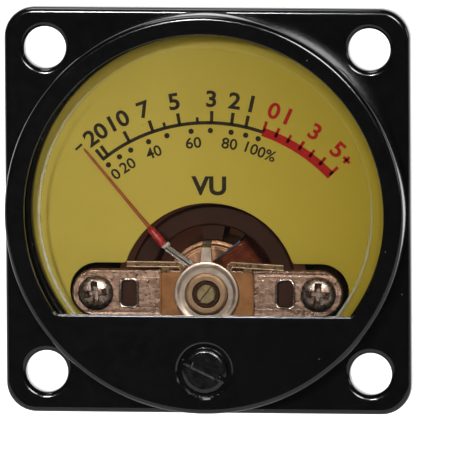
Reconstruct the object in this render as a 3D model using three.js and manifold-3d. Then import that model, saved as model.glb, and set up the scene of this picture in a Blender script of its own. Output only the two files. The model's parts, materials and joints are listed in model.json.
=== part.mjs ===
// A 35 mm square-flanged panel meter with a moving-coil movement, in millimetres.
// X is to the right, Z is up and the dial faces -Y. The origin is on the case axis, on the flange's rear face.
import * as THREE from 'three';
import { mergeVertices } from 'three/addons/utils/BufferGeometryUtils.js';
import Module from 'manifold-3d';

const wasm = await Module();
wasm.setup();

// ---- Driving dimensions -------------------------------------------------------------------------

const FLANGE = { side: 35, corner: 2.6, front: -2, back: 0, edge: 0.35, holeSpacing: 28, holeRadius: 1.8 };
const CUP = { outer: 16.4, inner: 15.2, seat: -0.5, rearWall: 1.2, back: 15.5, recess: 16.7, edge: 0.4 };
const CUP_REAR = { outer: 14.6, inner: 13.7 };
const CAP = { outer: 17.2, front: -5, edge: 0.4, skirtOuter: 16.6, skirtBack: -0.95, inner: 15.95 };
const WINDOW = { radius: 15.5, chord: -8.7, bevel: 0.3, lip: 0.45, pocketChord: -9.25 };
const MASK_BACK = -3.8;
const LENS = { radius: 15.85, chord: -9.2, front: -4.5, back: -3.8, rimOuter: 14.5, rimInner: 14.2, rimBack: -3.3 };
const DIAL = { radius: 16.5, front: -0.9, back: -0.5, opening: 7.6, margin: 0.35 };

const PIVOT_Z = -7.05;
const ZERO = { z: -13.45, head: 1.95, hole: 2.35, sink: 0.6, neck: 1.15, throwRadius: 0.75, pin: 0.3 };
const ZERO_SLOT = { width: 0.55, depth: 0.33, tilt: -26 };
const RETAINER = { outer: 1.9, thickness: 0.25 };

const BRIDGE = { halfLength: 11.7, halfHeight: 2.05, front: -2.55, back: -2.05, screwX: 9.6, windowX: 6.75 };
const BRIDGE_WINDOW = { width: 1.4, height: 2.3, lip: 0.25 };
const BRIDGE_SCREW = { head: 1.52, rise: 0.7, shank: 0.7, tip: 1.5, slotTilt: 30 };
const STOP = { front: -2.75, halfWidth: 4.05, top: 1.8, corner: 0.3 };
const STRIP = { left: [-6.9, -2.4], right: [2.2, 6.6], rightDrop: 0.25, z: 2.5, height: 0.5 };
const NECK = { x: 3.55, width: 0.8 };
const HOOK = { left: [-2.5, -2.1], right: [2.15, 2.5], low: 1.85 };
const LUG = { left: [-2.82, -2.42], right: [3.5, 3.9], low: 2.13, high: 2.55, back: -1.2 };
const LEVER = { front: -3.05, back: -2.8, disc: 2.8, tab: 4.5, forkEnd: 6.2, forkGap: 0.42 };
const BUSH = { bore: 0.95, shank: 1.3, flange: 1.72, front: -3.3, seat: -3.1 };
const JEWEL_SCREW = { radius: 0.9, cup: 0.55, slotWidth: 0.28, slotDepth: 0.3, slotTilt: 53 };
const FRONT_BEARING = { screwFront: -3.45, screwBack: -2.2, jewelBack: -2.25, tip: -2.45 };
const REAR_BEARING = { screwFront: 9.75, jewelFront: 9.8, tip: 10 };
const JEWEL = { radius: 0.5, hole: 0.2, holeDepth: 0.3, thickness: 0.45 };
const SPINDLE = { radius: 0.25, seat: 0.8, bore: 0.32 };

const REST_ANGLE = -41;
const COIL_ANGLE = -38.5;
const COIL = { front: 0.7, back: 8.3, outer: 4.9, bar: 0.45, halfWidth: 1.62 };
const BOBBIN = { thickness: 0.14, halfWidth: 1.78, gap: 0.03 };
const CORE = { radius: 4.1, front: 1.6, back: 7.4 };
const YOKE = { inner: 5.45, outer: 7.2, front: 1.5, back: 7.6 };
const SUPPORT_SPREAD = 11;

const FRAME = { front: 7.6, back: 9, disc: 7, opening: 5.5, halfLength: 11.5, halfHeight: 3, post: 1.9 };
const CASE_SCREW = { head: 1.5, height: 0.9, shank: 0.75, tip: 6, slot: 0.4, boss: 1.6 };
const REAR_SCREW = { head: 1, height: 0.6, shank: 0.5, tip: 8.3, slot: 0.3 };
const REAR = { postX: 6.6, post: 1, bridgeFront: 10, bridgeBack: 10.5, halfHeight: 1.2 };
const REAR_STACK = { washerBack: 10.8, tabBack: 11, nutBack: 11.6, screwBack: 12.1 };
const REAR_RADII = { washer: 2.3, disc: 2.1, nut: 1.75 };

const ARM = { front: -1.5, back: -1.3, hub: 0.95, tail: 4.4, crossArm: 3.05 };
const WEIGHT = { tail: 0.45, tailLength: 0.8, cross: 0.42, crossLength: 0.5 };
const NEEDLE = { y: -1.4, radius: 0.16, sleeve: 0.42, rootX: -0.26, rootZ: 5.4, sleeveEnd: 7.35, tip: 16.26 };
const SPRING = { inner: 0.42, outer: 2.3, turns: 3.5, thickness: 0.1, frontY: -1.95, rearY: 9, height: 0.2 };

const TERMINAL = { x: 8, z: 3, width: 2.2, thickness: 0.5, front: 11.5, back: 20.5, shoulder: 3.2 };
const LAMP = { z: 6.5, bulb: 1.5, front: 4.2, holder: 2.3, holderFront: 8.5, socketBack: 10.5, pinX: 1.27 };
const PIN = { radius: 0.35, front: 13, back: 20 };
const LEAD_RADIUS = 0.22;
const FRAME_LEAD = [[-8, 11.2, 3], [-7.2, 10.6, 1.6], [-5, 10, 0.3], [-3, 9.3, -0.4]];
const SPRING_LEAD = [[8, 11.2, 3], [6.6, 11.4, 0.6], [3.6, 11.6, -1.8], [0.75, 10.9, -3.6]];

const FIT = 0.05;
const ROUND = { big: 72, medium: 40, small: 24, tiny: 16 };

// ---- Materials ----------------------------------------------------------------------------------

const finish = (color, roughness, metalness, opacity = 1) =>
  () => new THREE.MeshStandardMaterial({ color, roughness, metalness, opacity, transparent: opacity < 1 });

const blackPlastic = finish(0x151517, 0.3, 0);
const clearPlastic = finish(0xf4f6f6, 0.05, 0, 0.3);
const dialYellow = finish(0xb2a04a, 0.55, 0);
const nickel = finish(0xb9a79c, 0.35, 0.9);
const bronze = finish(0xa8683a, 0.4, 0.85);
const brass = finish(0xc2a05c, 0.35, 0.9);
const copper = finish(0x8e4f38, 0.45, 0.7);
const steel = finish(0x8d8f92, 0.35, 0.9);
const aluminium = finish(0xa7abb0, 0.4, 0.85);
const redPaint = finish(0xa02a2a, 0.5, 0);
const ruby = finish(0x7b1f3a, 0.1, 0);
const magnet = finish(0x8a6152, 0.5, 0.6);
const paleResin = finish(0xd9d4c4, 0.6, 0);
const zinc = finish(0x6f6a66, 0.5, 0.8);

// ---- Geometry helpers ---------------------------------------------------------------------------

const radians = THREE.MathUtils.degToRad;
const vec2 = (x, y) => new THREE.Vector2(x, y);

// A triangle soup with its shared vertices merged, its empty triangles dropped and its faces turned outward.
function closed(source) {
  const bare = source.index ? source.toNonIndexed() : source.clone();
  bare.deleteAttribute('normal');
  bare.deleteAttribute('uv');
  const merged = mergeVertices(bare, 1e-4);
  const position = merged.attributes.position;
  const corners = [];
  let volume = 0;
  const [a, b, c] = [new THREE.Vector3(), new THREE.Vector3(), new THREE.Vector3()];
  for (let i = 0; i < merged.index.count; i += 3) {
    const [p, q, r] = [0, 1, 2].map((k) => merged.index.getX(i + k));
    if (p === q || q === r || r === p) continue;
    corners.push(p, q, r);
    a.fromBufferAttribute(position, p);
    b.fromBufferAttribute(position, q);
    c.fromBufferAttribute(position, r);
    volume += a.dot(b.cross(c));
  }
  if (volume < 0) corners.reverse();
  merged.setIndex(corners);
  return merged;
}

// A closed geometry as a manifold-3d solid.
function solid(source) {
  const mesh = closed(source);
  const vertProperties = Float32Array.from(mesh.attributes.position.array);
  const triVerts = Uint32Array.from(mesh.index.array);
  return new wasm.Manifold(new wasm.Mesh({ numProp: 3, vertProperties, triVerts }));
}

// A manifold-3d solid as a geometry again.
function geometry(shape) {
  const mesh = shape.getMesh();
  const result = new THREE.BufferGeometry();
  result.setAttribute('position', new THREE.BufferAttribute(mesh.vertProperties, 3));
  result.setIndex(new THREE.BufferAttribute(mesh.triVerts, 1));
  return result;
}

// One solid joined from several geometries, less several others.
function build(joined, cut = []) {
  const body = joined.map(solid).reduce((sum, next) => sum.add(next));
  return geometry(cut.map(solid).reduce((rest, next) => rest.subtract(next), body));
}

const moved = (source, x, y, z) => source.clone().translate(x, y, z);

// A flat shape, drawn in X and Z, as a plate from y = front to y = back.
function slab(shape, front, back, segments = 8) {
  const plate = new THREE.ExtrudeGeometry(shape, {
    depth: back - front,
    bevelEnabled: false,
    curveSegments: segments,
  });
  return plate.rotateX(Math.PI / 2).translate(0, back, 0);
}

// A body of revolution about Y, from [radius, y] pairs.
const turned = (profile, segments) =>
  new THREE.LatheGeometry(profile.map(([r, y]) => vec2(r, y)), segments);

// A plain round bar along Y.
const rod = (radius, front, back, segments = ROUND.small) =>
  new THREE.CylinderGeometry(radius, radius, back - front, segments).translate(0, (front + back) / 2, 0);

// A plain tube along Y.
const tube = (inner, outer, front, back, segments = ROUND.small) =>
  turned([[inner, front], [outer, front], [outer, back], [inner, back], [inner, front]], segments);

// A block between two corners.
const block = ([x0, y0, z0], [x1, y1, z1]) =>
  new THREE.BoxGeometry(x1 - x0, y1 - y0, z1 - z0).translate((x0 + x1) / 2, (y0 + y1) / 2, (z0 + z1) / 2);

// A rectangle with round corners, centred on the origin.
function roundedRectangle(width, height, corner) {
  const [x, y] = [width / 2 - corner, height / 2 - corner];
  const shape = new THREE.Shape();
  shape.absarc(x, y, corner, 0, Math.PI / 2, false);
  shape.absarc(-x, y, corner, Math.PI / 2, Math.PI, false);
  shape.absarc(-x, -y, corner, Math.PI, Math.PI * 1.5, false);
  shape.absarc(x, -y, corner, Math.PI * 1.5, Math.PI * 2, false);
  return shape;
}

const disc = (radius) => new THREE.Shape().absarc(0, 0, radius, 0, Math.PI * 2, false);
const obround = (halfLength, halfHeight) => roundedRectangle(halfLength * 2, halfHeight * 2, halfHeight - 0.001);

// The part of a disc that lies above a chord.
function aboveChord(radius, chord) {
  const start = Math.asin(chord / radius);
  return new THREE.Shape().absarc(0, 0, radius, start, Math.PI - start, false);
}

// A polygon through [x, y] points.
const polygon = (points) => new THREE.Shape(points.map(([x, y]) => vec2(x, y)));

// A straight screwdriver slot across a head that faces -Y, turned by tilt degrees from the horizontal.
function slot(width, length, front, depth, tilt) {
  const cutter = block([-length / 2, front - 0.2, -width / 2], [length / 2, front + depth, width / 2]);
  return cutter.rotateY(-radians(tilt));
}

// ---- Case ---------------------------------------------------------------------------------------

function flangePlate() {
  const outline = roundedRectangle(FLANGE.side, FLANGE.side, FLANGE.corner);
  const plate = new THREE.ExtrudeGeometry(outline, {
    depth: FLANGE.back - FLANGE.front - FLANGE.edge * 2,
    bevelThickness: FLANGE.edge,
    bevelSize: FLANGE.edge,
    bevelOffset: -FLANGE.edge,
    bevelSegments: 2,
    curveSegments: 6,
  });
  return plate.rotateX(Math.PI / 2).translate(0, FLANGE.back - FLANGE.edge, 0);
}

// Every corner position of a rectangle of hole centres.
const corners = (dx, dz) => [[dx, dz], [-dx, dz], [-dx, -dz], [dx, -dz]];
const bothSides = (x, z) => [[-x, z], [x, z]];

function housingShape() {
  const inside = CUP.back - CUP.rearWall;
  const cup = turned([
    [0, CUP.seat], [CUP.outer, CUP.seat], [CUP.outer, FLANGE.back + 0.5], [CUP_REAR.outer, CUP.back - CUP.edge],
    [CUP_REAR.outer - CUP.edge, CUP.back], [0, CUP.back],
  ], ROUND.big);
  const bore = turned(
    [[0, CUP.seat - 1], [CUP.inner, CUP.seat - 1], [CUP.inner, CUP.seat], [CUP_REAR.inner, inside], [0, inside]],
    ROUND.big,
  );
  const boss = rod(CASE_SCREW.boss, FRAME.back, CUP.back - 0.5);
  const half = FLANGE.holeSpacing / 2;
  const hollow = build([flangePlate(), cup], [
    rod(CUP.recess, FLANGE.front - 1, CUP.seat, ROUND.big),
    bore,
  ]);
  const bosses = bothSides(BRIDGE.screwX, PIVOT_Z).map(([x, z]) => moved(boss, x, 0, z));
  const bossHole = rod(CASE_SCREW.shank + 0.15, FRAME.back - 1, CUP.back + 1, ROUND.tiny);
  const screwHole = rod(FLANGE.holeRadius, FLANGE.front - 1, FLANGE.back + 1, 28);
  const slotSize = [TERMINAL.width / 2 + FIT, TERMINAL.thickness / 2 + FIT];
  return build([hollow, ...bosses], [
    ...corners(half, half).map(([x, z]) => moved(screwHole, x, 0, z)),
    ...bothSides(BRIDGE.screwX, PIVOT_Z).map(([x, z]) => moved(bossHole, x, 0, z)),
    ...bothSides(TERMINAL.x, TERMINAL.z).map(([x, z]) =>
      block([x - slotSize[0], inside - 1, z - slotSize[1]], [x + slotSize[0], CUP.back + 1, z + slotSize[1]])),
    ...bothSides(LAMP.pinX, LAMP.z).map(([x, z]) => moved(rod(PIN.radius + FIT, PIN.front, CUP.back + 1, 12), x, 0, z)),
  ]);
}

function bezelCapShape() {
  const { outer, front, edge, skirtOuter, skirtBack, inner } = CAP;
  const cap = turned([
    [0, front], [outer - edge, front], [outer - edge * 0.3, front + edge * 0.3], [outer, front + edge],
    [outer, FLANGE.front], [skirtOuter, FLANGE.front], [skirtOuter, skirtBack], [0, skirtBack],
  ], ROUND.big);
  const behindLip = front + WINDOW.lip;
  const opening = new THREE.ExtrudeGeometry(aboveChord(WINDOW.radius, WINDOW.chord), {
    depth: 1,
    bevelThickness: WINDOW.bevel,
    bevelSize: WINDOW.bevel,
    bevelSegments: 1,
    curveSegments: ROUND.big,
  });
  opening.rotateX(Math.PI / 2).translate(0, front, 0);
  return build([cap], [
    opening,
    slab(aboveChord(WINDOW.radius, WINDOW.chord), front - 1, behindLip + 0.2, ROUND.big),
    slab(aboveChord(inner, WINDOW.pocketChord), behindLip, skirtBack + 1, ROUND.big),
    rod(inner, MASK_BACK, skirtBack + 1, ROUND.big),
    moved(rod(ZERO.hole, front - 1, front + ZERO.sink, 32), 0, 0, ZERO.z),
    moved(rod(ZERO.neck + 0.1, front, MASK_BACK + 1, ROUND.small), 0, 0, ZERO.z),
  ]);
}

function windowLensShape() {
  const rimStart = Math.asin(LENS.chord / LENS.rimOuter);
  const rim = new THREE.Shape();
  rim.absarc(0, 0, LENS.rimOuter, rimStart, Math.PI - rimStart, false);
  rim.absarc(0, 0, LENS.rimInner, Math.PI - rimStart, rimStart, true);
  return build([
    slab(aboveChord(LENS.radius, LENS.chord), LENS.front, LENS.back, ROUND.medium),
    slab(rim, LENS.back - 0.1, LENS.rimBack, ROUND.medium),
  ]);
}

function dialPlateShape() {
  const { halfLength, halfHeight } = BRIDGE;
  const bridgeRoom = obround(halfLength + DIAL.margin, halfHeight + DIAL.margin);
  const coilRoom = aboveChord(DIAL.opening, 0.01);
  return build([rod(DIAL.radius, DIAL.front, DIAL.back, ROUND.big)], [
    moved(slab(bridgeRoom, DIAL.front - 1, DIAL.back + 1), 0, 0, PIVOT_Z),
    moved(slab(coilRoom, DIAL.front - 1, DIAL.back + 1, ROUND.medium), 0, 0, PIVOT_Z),
  ]);
}

// A cheese-head screw along Y whose head faces the rear.
function rearScrewShape({ head, height, shank, tip, slot: slotWidth }, seat) {
  const back = seat + height;
  const body = turned(
    [[0, tip], [shank, tip], [shank, seat], [head, seat], [head, back - 0.15], [head - 0.15, back], [0, back]],
    ROUND.small,
  );
  const cut = block([-head - 1, back - height / 2, -slotWidth / 2], [head + 1, back + 1, slotWidth / 2]);
  return build([body], [cut]);
}

// ---- Zero adjuster ------------------------------------------------------------------------------

// Everything here is drawn about the screw's own axis.
function zeroScrewShape() {
  const front = CAP.front + 0.05;
  const seat = CAP.front + ZERO.sink - FIT;
  const neckBack = MASK_BACK + 0.4;
  const body = turned([
    [0, front], [ZERO.head - 0.15, front], [ZERO.head, front + 0.15],
    [ZERO.head, seat], [ZERO.neck, seat], [ZERO.neck, neckBack], [0, neckBack],
  ], 32);
  const pin = moved(rod(ZERO.pin, neckBack - 0.1, LEVER.back + 0.3, ROUND.tiny), 0, 0, ZERO.throwRadius);
  return build([body, pin], [slot(ZERO_SLOT.width, ZERO.head * 2.5, front, ZERO_SLOT.depth, ZERO_SLOT.tilt)]);
}

const retainerShape = () =>
  tube(ZERO.neck + FIT, RETAINER.outer, MASK_BACK + FIT, MASK_BACK + FIT + RETAINER.thickness);

// The lever is drawn about the pivot axis: a disc, a bent tab above it and a fork below it.
function zeroLeverShape() {
  const { front, back, disc: radius, tab, forkEnd, forkGap } = LEVER;
  const stem = polygon([[-0.9, -2], [-0.9, -forkEnd], [0.9, -forkEnd], [0.9, -2]]);
  const upper = polygon([[-0.55, 2], [0.55, 2], [0.37, tab], [-0.37, tab]]);
  const pinHeight = ZERO.z + ZERO.throwRadius - PIVOT_Z;
  return build(
    [
      slab(disc(radius), front, back, 20),
      slab(stem, front, back),
      slab(upper, front, back),
      block([-0.37, front, tab - 0.2], [0.37, SPRING.frontY + SPRING.height, tab]),
    ],
    [
      rod(BUSH.shank + FIT, front - 1, back + 1),
      block([-forkGap, front - 1, -forkEnd - 1], [forkGap, back + 1, pinHeight + 0.7]),
    ],
  );
}

// ---- Front bridge and bearing -------------------------------------------------------------------

function frontBridgeShape() {
  const { front, back, halfLength, halfHeight, screwX, windowX } = BRIDGE;
  const { width, height, lip } = BRIDGE_WINDOW;
  const rim = slab(roundedRectangle(width + 0.5, height + 0.5, 0.35), front - lip, back - 0.1, 3);
  const hole = slab(roundedRectangle(width, height, 0.2), front - 1, back + 1, 3);
  const screwHole = rod(BRIDGE_SCREW.shank + 0.1, front - 1, back + 1, ROUND.tiny);
  return build(
    [slab(obround(halfLength, halfHeight), front, back), moved(rim, -windowX, 0, 0), moved(rim, windowX, 0, 0)],
    [
      moved(hole, -windowX, 0, 0),
      moved(hole, windowX, 0, 0),
      moved(screwHole, -screwX, 0, 0),
      moved(screwHole, screwX, 0, 0),
      rod(BUSH.shank + FIT, front - 1, back + 1),
    ],
  );
}

function bridgeScrewShape() {
  const { head: radius, rise, shank, tip, slotTilt } = BRIDGE_SCREW;
  const seat = BRIDGE.front;
  const front = seat - rise;
  const head = turned([
    [0, front], [radius * 0.5, front + 0.06], [radius * 0.82, front + 0.22], [radius, front + 0.5],
    [radius, seat], [shank, seat], [shank, tip], [0, tip],
  ], ROUND.small);
  const arms = [slotTilt, slotTilt + 90].map((tilt) => slot(0.42, 1.9, front, 0.42, tilt));
  return build([head], arms);
}

// The stop strips lie above the bridge, with hooked inner ends, and each has a lug that is bent back into the
// pointer's plane.
function pointerStopShape() {
  const { front, halfWidth, top, corner } = STOP;
  const back = BRIDGE.front;
  const bottom = 0.15 - BRIDGE.halfHeight;
  const plate = slab(roundedRectangle(halfWidth * 2, top - bottom, corner), front, back, 3);
  const [low, high] = [STRIP.z - STRIP.height / 2, STRIP.z + STRIP.height / 2];
  const strip = ([x0, x1], drop) =>
    slab(polygon([[x0, low], [x1, low - drop], [x1, high - drop], [x0, high]]), front, back);
  const neck = block([-NECK.width / 2, front, top - 0.4], [NECK.width / 2, back, STRIP.z]);
  const hook = ([x0, x1]) => block([x0, front, HOOK.low], [x1, back, low + 0.1]);
  const lug = ([x0, x1]) => block([x0, front, LUG.low], [x1, LUG.back, LUG.high]);
  return build(
    [
      moved(plate, 0, 0, (top + bottom) / 2),
      strip(STRIP.left, 0),
      strip(STRIP.right, STRIP.rightDrop),
      moved(neck, -NECK.x, 0, 0),
      moved(neck, NECK.x, 0, 0),
      hook(HOOK.left),
      hook(HOOK.right),
      lug(LUG.left),
      lug(LUG.right),
    ],
    [rod(BUSH.shank + FIT, front - 1, back + 1)],
  );
}

function bushShape() {
  const { bore, shank, flange, front, seat } = BUSH;
  return turned([
    [bore + 0.17, front], [flange, front], [flange, seat], [shank, seat],
    [shank, BRIDGE.back], [bore, BRIDGE.back], [bore, seat], [bore + 0.17, front],
  ], 32);
}

// A bearing screw from its slotted end to its cupped end, which holds a jewel. It is drawn facing -Y.
function jewelScrewShape(front, back) {
  const { radius, cup, slotWidth, slotDepth, slotTilt } = JEWEL_SCREW;
  return build([rod(radius, front, back)], [
    rod(cup, back - JEWEL.thickness - 0.1, back + 1, ROUND.tiny),
    slot(slotWidth, radius * 3, front, slotDepth, slotTilt),
  ]);
}

// A jewel with a blind hole that opens towards +Y.
function jewelShape(back) {
  const { radius, hole, holeDepth, thickness } = JEWEL;
  const front = back - thickness;
  return turned(
    [[0, front], [radius, front], [radius, back], [hole, back], [hole, back - holeDepth], [0, back - holeDepth]],
    ROUND.tiny,
  );
}

// A half turn about X, so that a piece that faces -Y faces +Y.
const faceRear = (source) => source.clone().rotateX(Math.PI);

// ---- Magnet and frame ---------------------------------------------------------------------------

// A block that fills the gap between core and yoke, above the axis.
function coreSupportShape() {
  const [inner, outer] = [CORE.radius + FIT, YOKE.inner - FIT];
  const [start, end] = [radians(90 - SUPPORT_SPREAD), radians(90 + SUPPORT_SPREAD)];
  const sector = new THREE.Shape();
  sector.absarc(0, 0, outer, start, end, false);
  sector.absarc(0, 0, inner + 0.02, end, start, true);
  return slab(sector, CORE.front + 0.4, CORE.back, 4);
}

function movementFrameShape() {
  const { front, back, disc: radius, opening, halfLength, halfHeight, post } = FRAME;
  const sides = bothSides(BRIDGE.screwX, 0);
  const rearSides = bothSides(REAR.postX, 0);
  return build(
    [
      slab(obround(halfLength, halfHeight), front, back),
      slab(disc(radius), front, back, 24),
      ...sides.map(([x]) => moved(rod(post, BRIDGE.back, front + 0.5), x, 0, 0)),
      ...rearSides.map(([x]) => moved(rod(REAR.post, back - 0.5, REAR.bridgeFront, ROUND.tiny), x, 0, 0)),
    ],
    [
      rod(opening, front - 1, back + 2, ROUND.medium),
      ...sides.map(([x]) => moved(rod(BRIDGE_SCREW.shank + FIT, BRIDGE.back - 1, 2, ROUND.tiny), x, 0, 0)),
      ...sides.map(([x]) => moved(rod(CASE_SCREW.shank + FIT, CASE_SCREW.tip - 1, back + 1, ROUND.tiny), x, 0, 0)),
      ...rearSides.map(([x]) => moved(rod(0.55, 8, REAR.bridgeFront + 1, 12), x, 0, 0)),
    ],
  );
}

function rearBridgeShape() {
  const { postX, bridgeFront, bridgeBack, halfHeight } = REAR;
  return build([slab(obround(postX + halfHeight, halfHeight), bridgeFront, bridgeBack)], [
    rod(JEWEL_SCREW.radius + FIT, bridgeFront - 1, bridgeBack + 1),
    ...bothSides(postX, 0).map(([x]) => moved(rod(0.6, bridgeFront - 1, bridgeBack + 1, 12), x, 0, 0)),
  ]);
}

function rearSpringTabShape() {
  const { washerBack, tabBack } = REAR_STACK;
  const arm = polygon([[-0.5, 1.5], [0.5, 1.5], [0.4, LEVER.tab], [-0.4, LEVER.tab]]);
  return build(
    [
      slab(disc(REAR_RADII.disc), washerBack, tabBack, 12),
      slab(arm, washerBack, tabBack),
      block([-0.4, SPRING.rearY, LEVER.tab - 0.2], [0.4, tabBack, LEVER.tab]),
    ],
    [rod(JEWEL_SCREW.radius + FIT, washerBack - 1, tabBack + 1)],
  );
}

const washerShape = () =>
  tube(JEWEL_SCREW.radius + FIT, REAR_RADII.washer, REAR.bridgeBack, REAR_STACK.washerBack);

function nutShape() {
  const { tabBack, nutBack } = REAR_STACK;
  return build([rod(REAR_RADII.nut, tabBack, nutBack, 6)], [rod(JEWEL_SCREW.radius + FIT, tabBack - 1, nutBack + 1)]);
}

// ---- Moving element -----------------------------------------------------------------------------

// A closed rectangular loop in the plane of X and Y, with a depth in Z, drawn about the pivot axis.
function loopShape(halfLength, front, back, wall, halfWidth, corner) {
  const outline = (inset) => {
    const length = (halfLength - inset) * 2;
    const height = back - front - inset * 2;
    return roundedRectangle(length, height, Math.max(corner - inset, 0.1));
  };
  const shape = outline(0);
  shape.holes.push(new THREE.Path(outline(wall).getPoints(3)));
  const loop = new THREE.ExtrudeGeometry(shape, { depth: halfWidth * 2, bevelEnabled: false, curveSegments: 3 });
  return loop.translate(0, (front + back) / 2, -halfWidth);
}

const windingShape = () => loopShape(COIL.outer, COIL.front, COIL.back, COIL.bar, COIL.halfWidth, 0.6);

function bobbinShape() {
  const inset = COIL.bar + BOBBIN.gap;
  return loopShape(
    COIL.outer - inset, COIL.front + inset, COIL.back - inset, BOBBIN.thickness, BOBBIN.halfWidth, 0.15,
  );
}

// A spindle from its seat on the coil to its pointed end in the jewel. It is drawn pointing to -Y.
function spindleShape(seat, tip) {
  const { radius, seat: seatRadius } = SPINDLE;
  return turned([
    [0, tip], [0.13, tip + 0.2], [0.13, tip + 0.3], [radius, tip + 0.45],
    [radius, seat - 0.3], [seatRadius, seat - 0.3], [seatRadius, seat], [0, seat],
  ], ROUND.tiny);
}

// The pointer's hub plate, drawn with the pointer straight up: arm, tail and two short side arms.
function pointerArmShape() {
  const { front, back, hub, tail, crossArm } = ARM;
  const arm = polygon([[0.05, 0], [0.22, 2.4], [-0.42, 5.1], [-0.42, 5.35], [0.1, 5.35], [0.68, 2.6], [0.75, 0]]);
  const counter = polygon([[-0.3, 0], [-0.22, -tail], [0.22, -tail], [0.3, 0]]);
  const cross = polygon([[-crossArm, -0.2], [crossArm, -0.2], [crossArm, 0.2], [-crossArm, 0.2]]);
  return build(
    [slab(disc(hub), front, back, 12), slab(arm, front, back), slab(counter, front, back), slab(cross, front, back)],
    [rod(SPINDLE.bore, front - 1, back + 1, ROUND.tiny)],
  );
}

// A tapered round bar between two points of the pointer's plane.
function taperedBar([x0, z0], [x1, z1], r0, r1, segments) {
  const length = Math.hypot(x1 - x0, z1 - z0);
  const bar = new THREE.CylinderGeometry(r1, r0, length, segments).rotateX(Math.PI / 2);
  bar.rotateY(Math.atan2(x1 - x0, z1 - z0));
  return bar.translate((x0 + x1) / 2, NEEDLE.y, (z0 + z1) / 2);
}

function pointerShape() {
  const { rootX, rootZ, sleeve, sleeveEnd, radius, tip } = NEEDLE;
  const sleeveX = rootX * (tip - sleeveEnd) / (tip - rootZ);
  const start = [rootX, rootZ + FIT];
  return build([
    taperedBar(start, [sleeveX, sleeveEnd], sleeve, sleeve * 0.9, 12),
    taperedBar([sleeveX, sleeveEnd - 0.3], [0, tip], radius, radius * 0.8, 8),
  ]);
}

// A short sleeve round one of the hub plate's straight arms, which run along Z here.
const weightShape = (radius, length, reach) =>
  tube(0.28, radius, 0, length, 10).rotateX(Math.PI / 2).translate(0, (ARM.front + ARM.back) / 2, reach);

// A flat spiral spring with its collet, and a straight end that runs up to the tab.
function hairspringShape(front) {
  const { inner, outer, turns, thickness, height } = SPRING;
  const back = front + height;
  const steps = Math.round(turns * 18);
  const edge = (offset) => Array.from({ length: steps + 1 }, (_, i) => {
    const radius = inner + (outer - inner) * (i / steps) + offset;
    const angle = Math.PI / 2 - (steps - i) * (Math.PI / 9);
    return [radius * Math.cos(angle), radius * Math.sin(angle)];
  });
  const ribbon = polygon([...edge(thickness / 2), ...edge(-thickness / 2).reverse()]);
  const end = polygon([
    [-thickness / 2, outer - 0.03], [thickness / 2, outer - 0.03],
    [thickness / 2, LEVER.tab - 0.25], [-thickness / 2, LEVER.tab - 0.25],
  ]);
  return build([tube(SPINDLE.bore, inner + 0.06, front, back, ROUND.tiny), slab(ribbon, front, back), slab(end, front, back)]);
}

// ---- Terminals, lamp and leads ------------------------------------------------------------------

function terminalShape() {
  const { width, thickness, front, back, shoulder } = TERMINAL;
  const [half, wide, stop] = [width / 2, shoulder / 2, CUP.back - CUP.rearWall];
  const outline = polygon([
    [-half, front], [half, front], [half, stop - 0.8], [wide, stop - 0.8], [wide, stop], [half, stop],
    [half, back - 0.8], [half - 0.8, back], [-half + 0.8, back], [-half, back - 0.8],
    [-half, stop], [-wide, stop], [-wide, stop - 0.8], [-half, stop - 0.8],
  ]);
  outline.holes.push(new THREE.Path().absarc(0, back - 1.5, 0.55, 0, Math.PI * 2, true));
  const tag = new THREE.ExtrudeGeometry(outline, { depth: thickness, bevelEnabled: false, curveSegments: 6 });
  return tag.translate(0, 0, -thickness / 2);
}

function lampHolderShape() {
  const back = CUP.back - CUP.rearWall;
  const pinHole = rod(PIN.radius + FIT, PIN.front - 0.1, back + 1, 12);
  return build([rod(LAMP.holder, LAMP.holderFront, back)], [
    rod(LAMP.bulb + FIT, LAMP.holderFront - 1, LAMP.socketBack),
    moved(pinHole, -LAMP.pinX, 0, 0),
    moved(pinHole, LAMP.pinX, 0, 0),
  ]);
}

function bulbShape() {
  const { bulb, front, socketBack } = LAMP;
  const dome = [0, 30, 60, 90].map((a) => [bulb * Math.sin(radians(a)), front + bulb - bulb * Math.cos(radians(a))]);
  return turned([...dome, [bulb, socketBack - FIT], [0, socketBack - FIT]], ROUND.tiny);
}

// A round wire along a smooth curve through the given points.
function leadShape(points) {
  const path = new THREE.CatmullRomCurve3(points.map((p) => new THREE.Vector3(...p)));
  return new THREE.ExtrudeGeometry(disc(LEAD_RADIUS), { steps: 20, extrudePath: path, curveSegments: 4 });
}

// ---- Assembly -----------------------------------------------------------------------------------

function piece(name, shape, material) {
  const mesh = new THREE.Mesh(closed(shape), material());
  mesh.geometry.computeVertexNormals();
  mesh.name = name;
  return mesh;
}

// A piece shifted within its group.
function placed(name, shape, material, x, y, z) {
  const mesh = piece(name, shape, material);
  mesh.position.set(x, y, z);
  return mesh;
}

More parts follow.
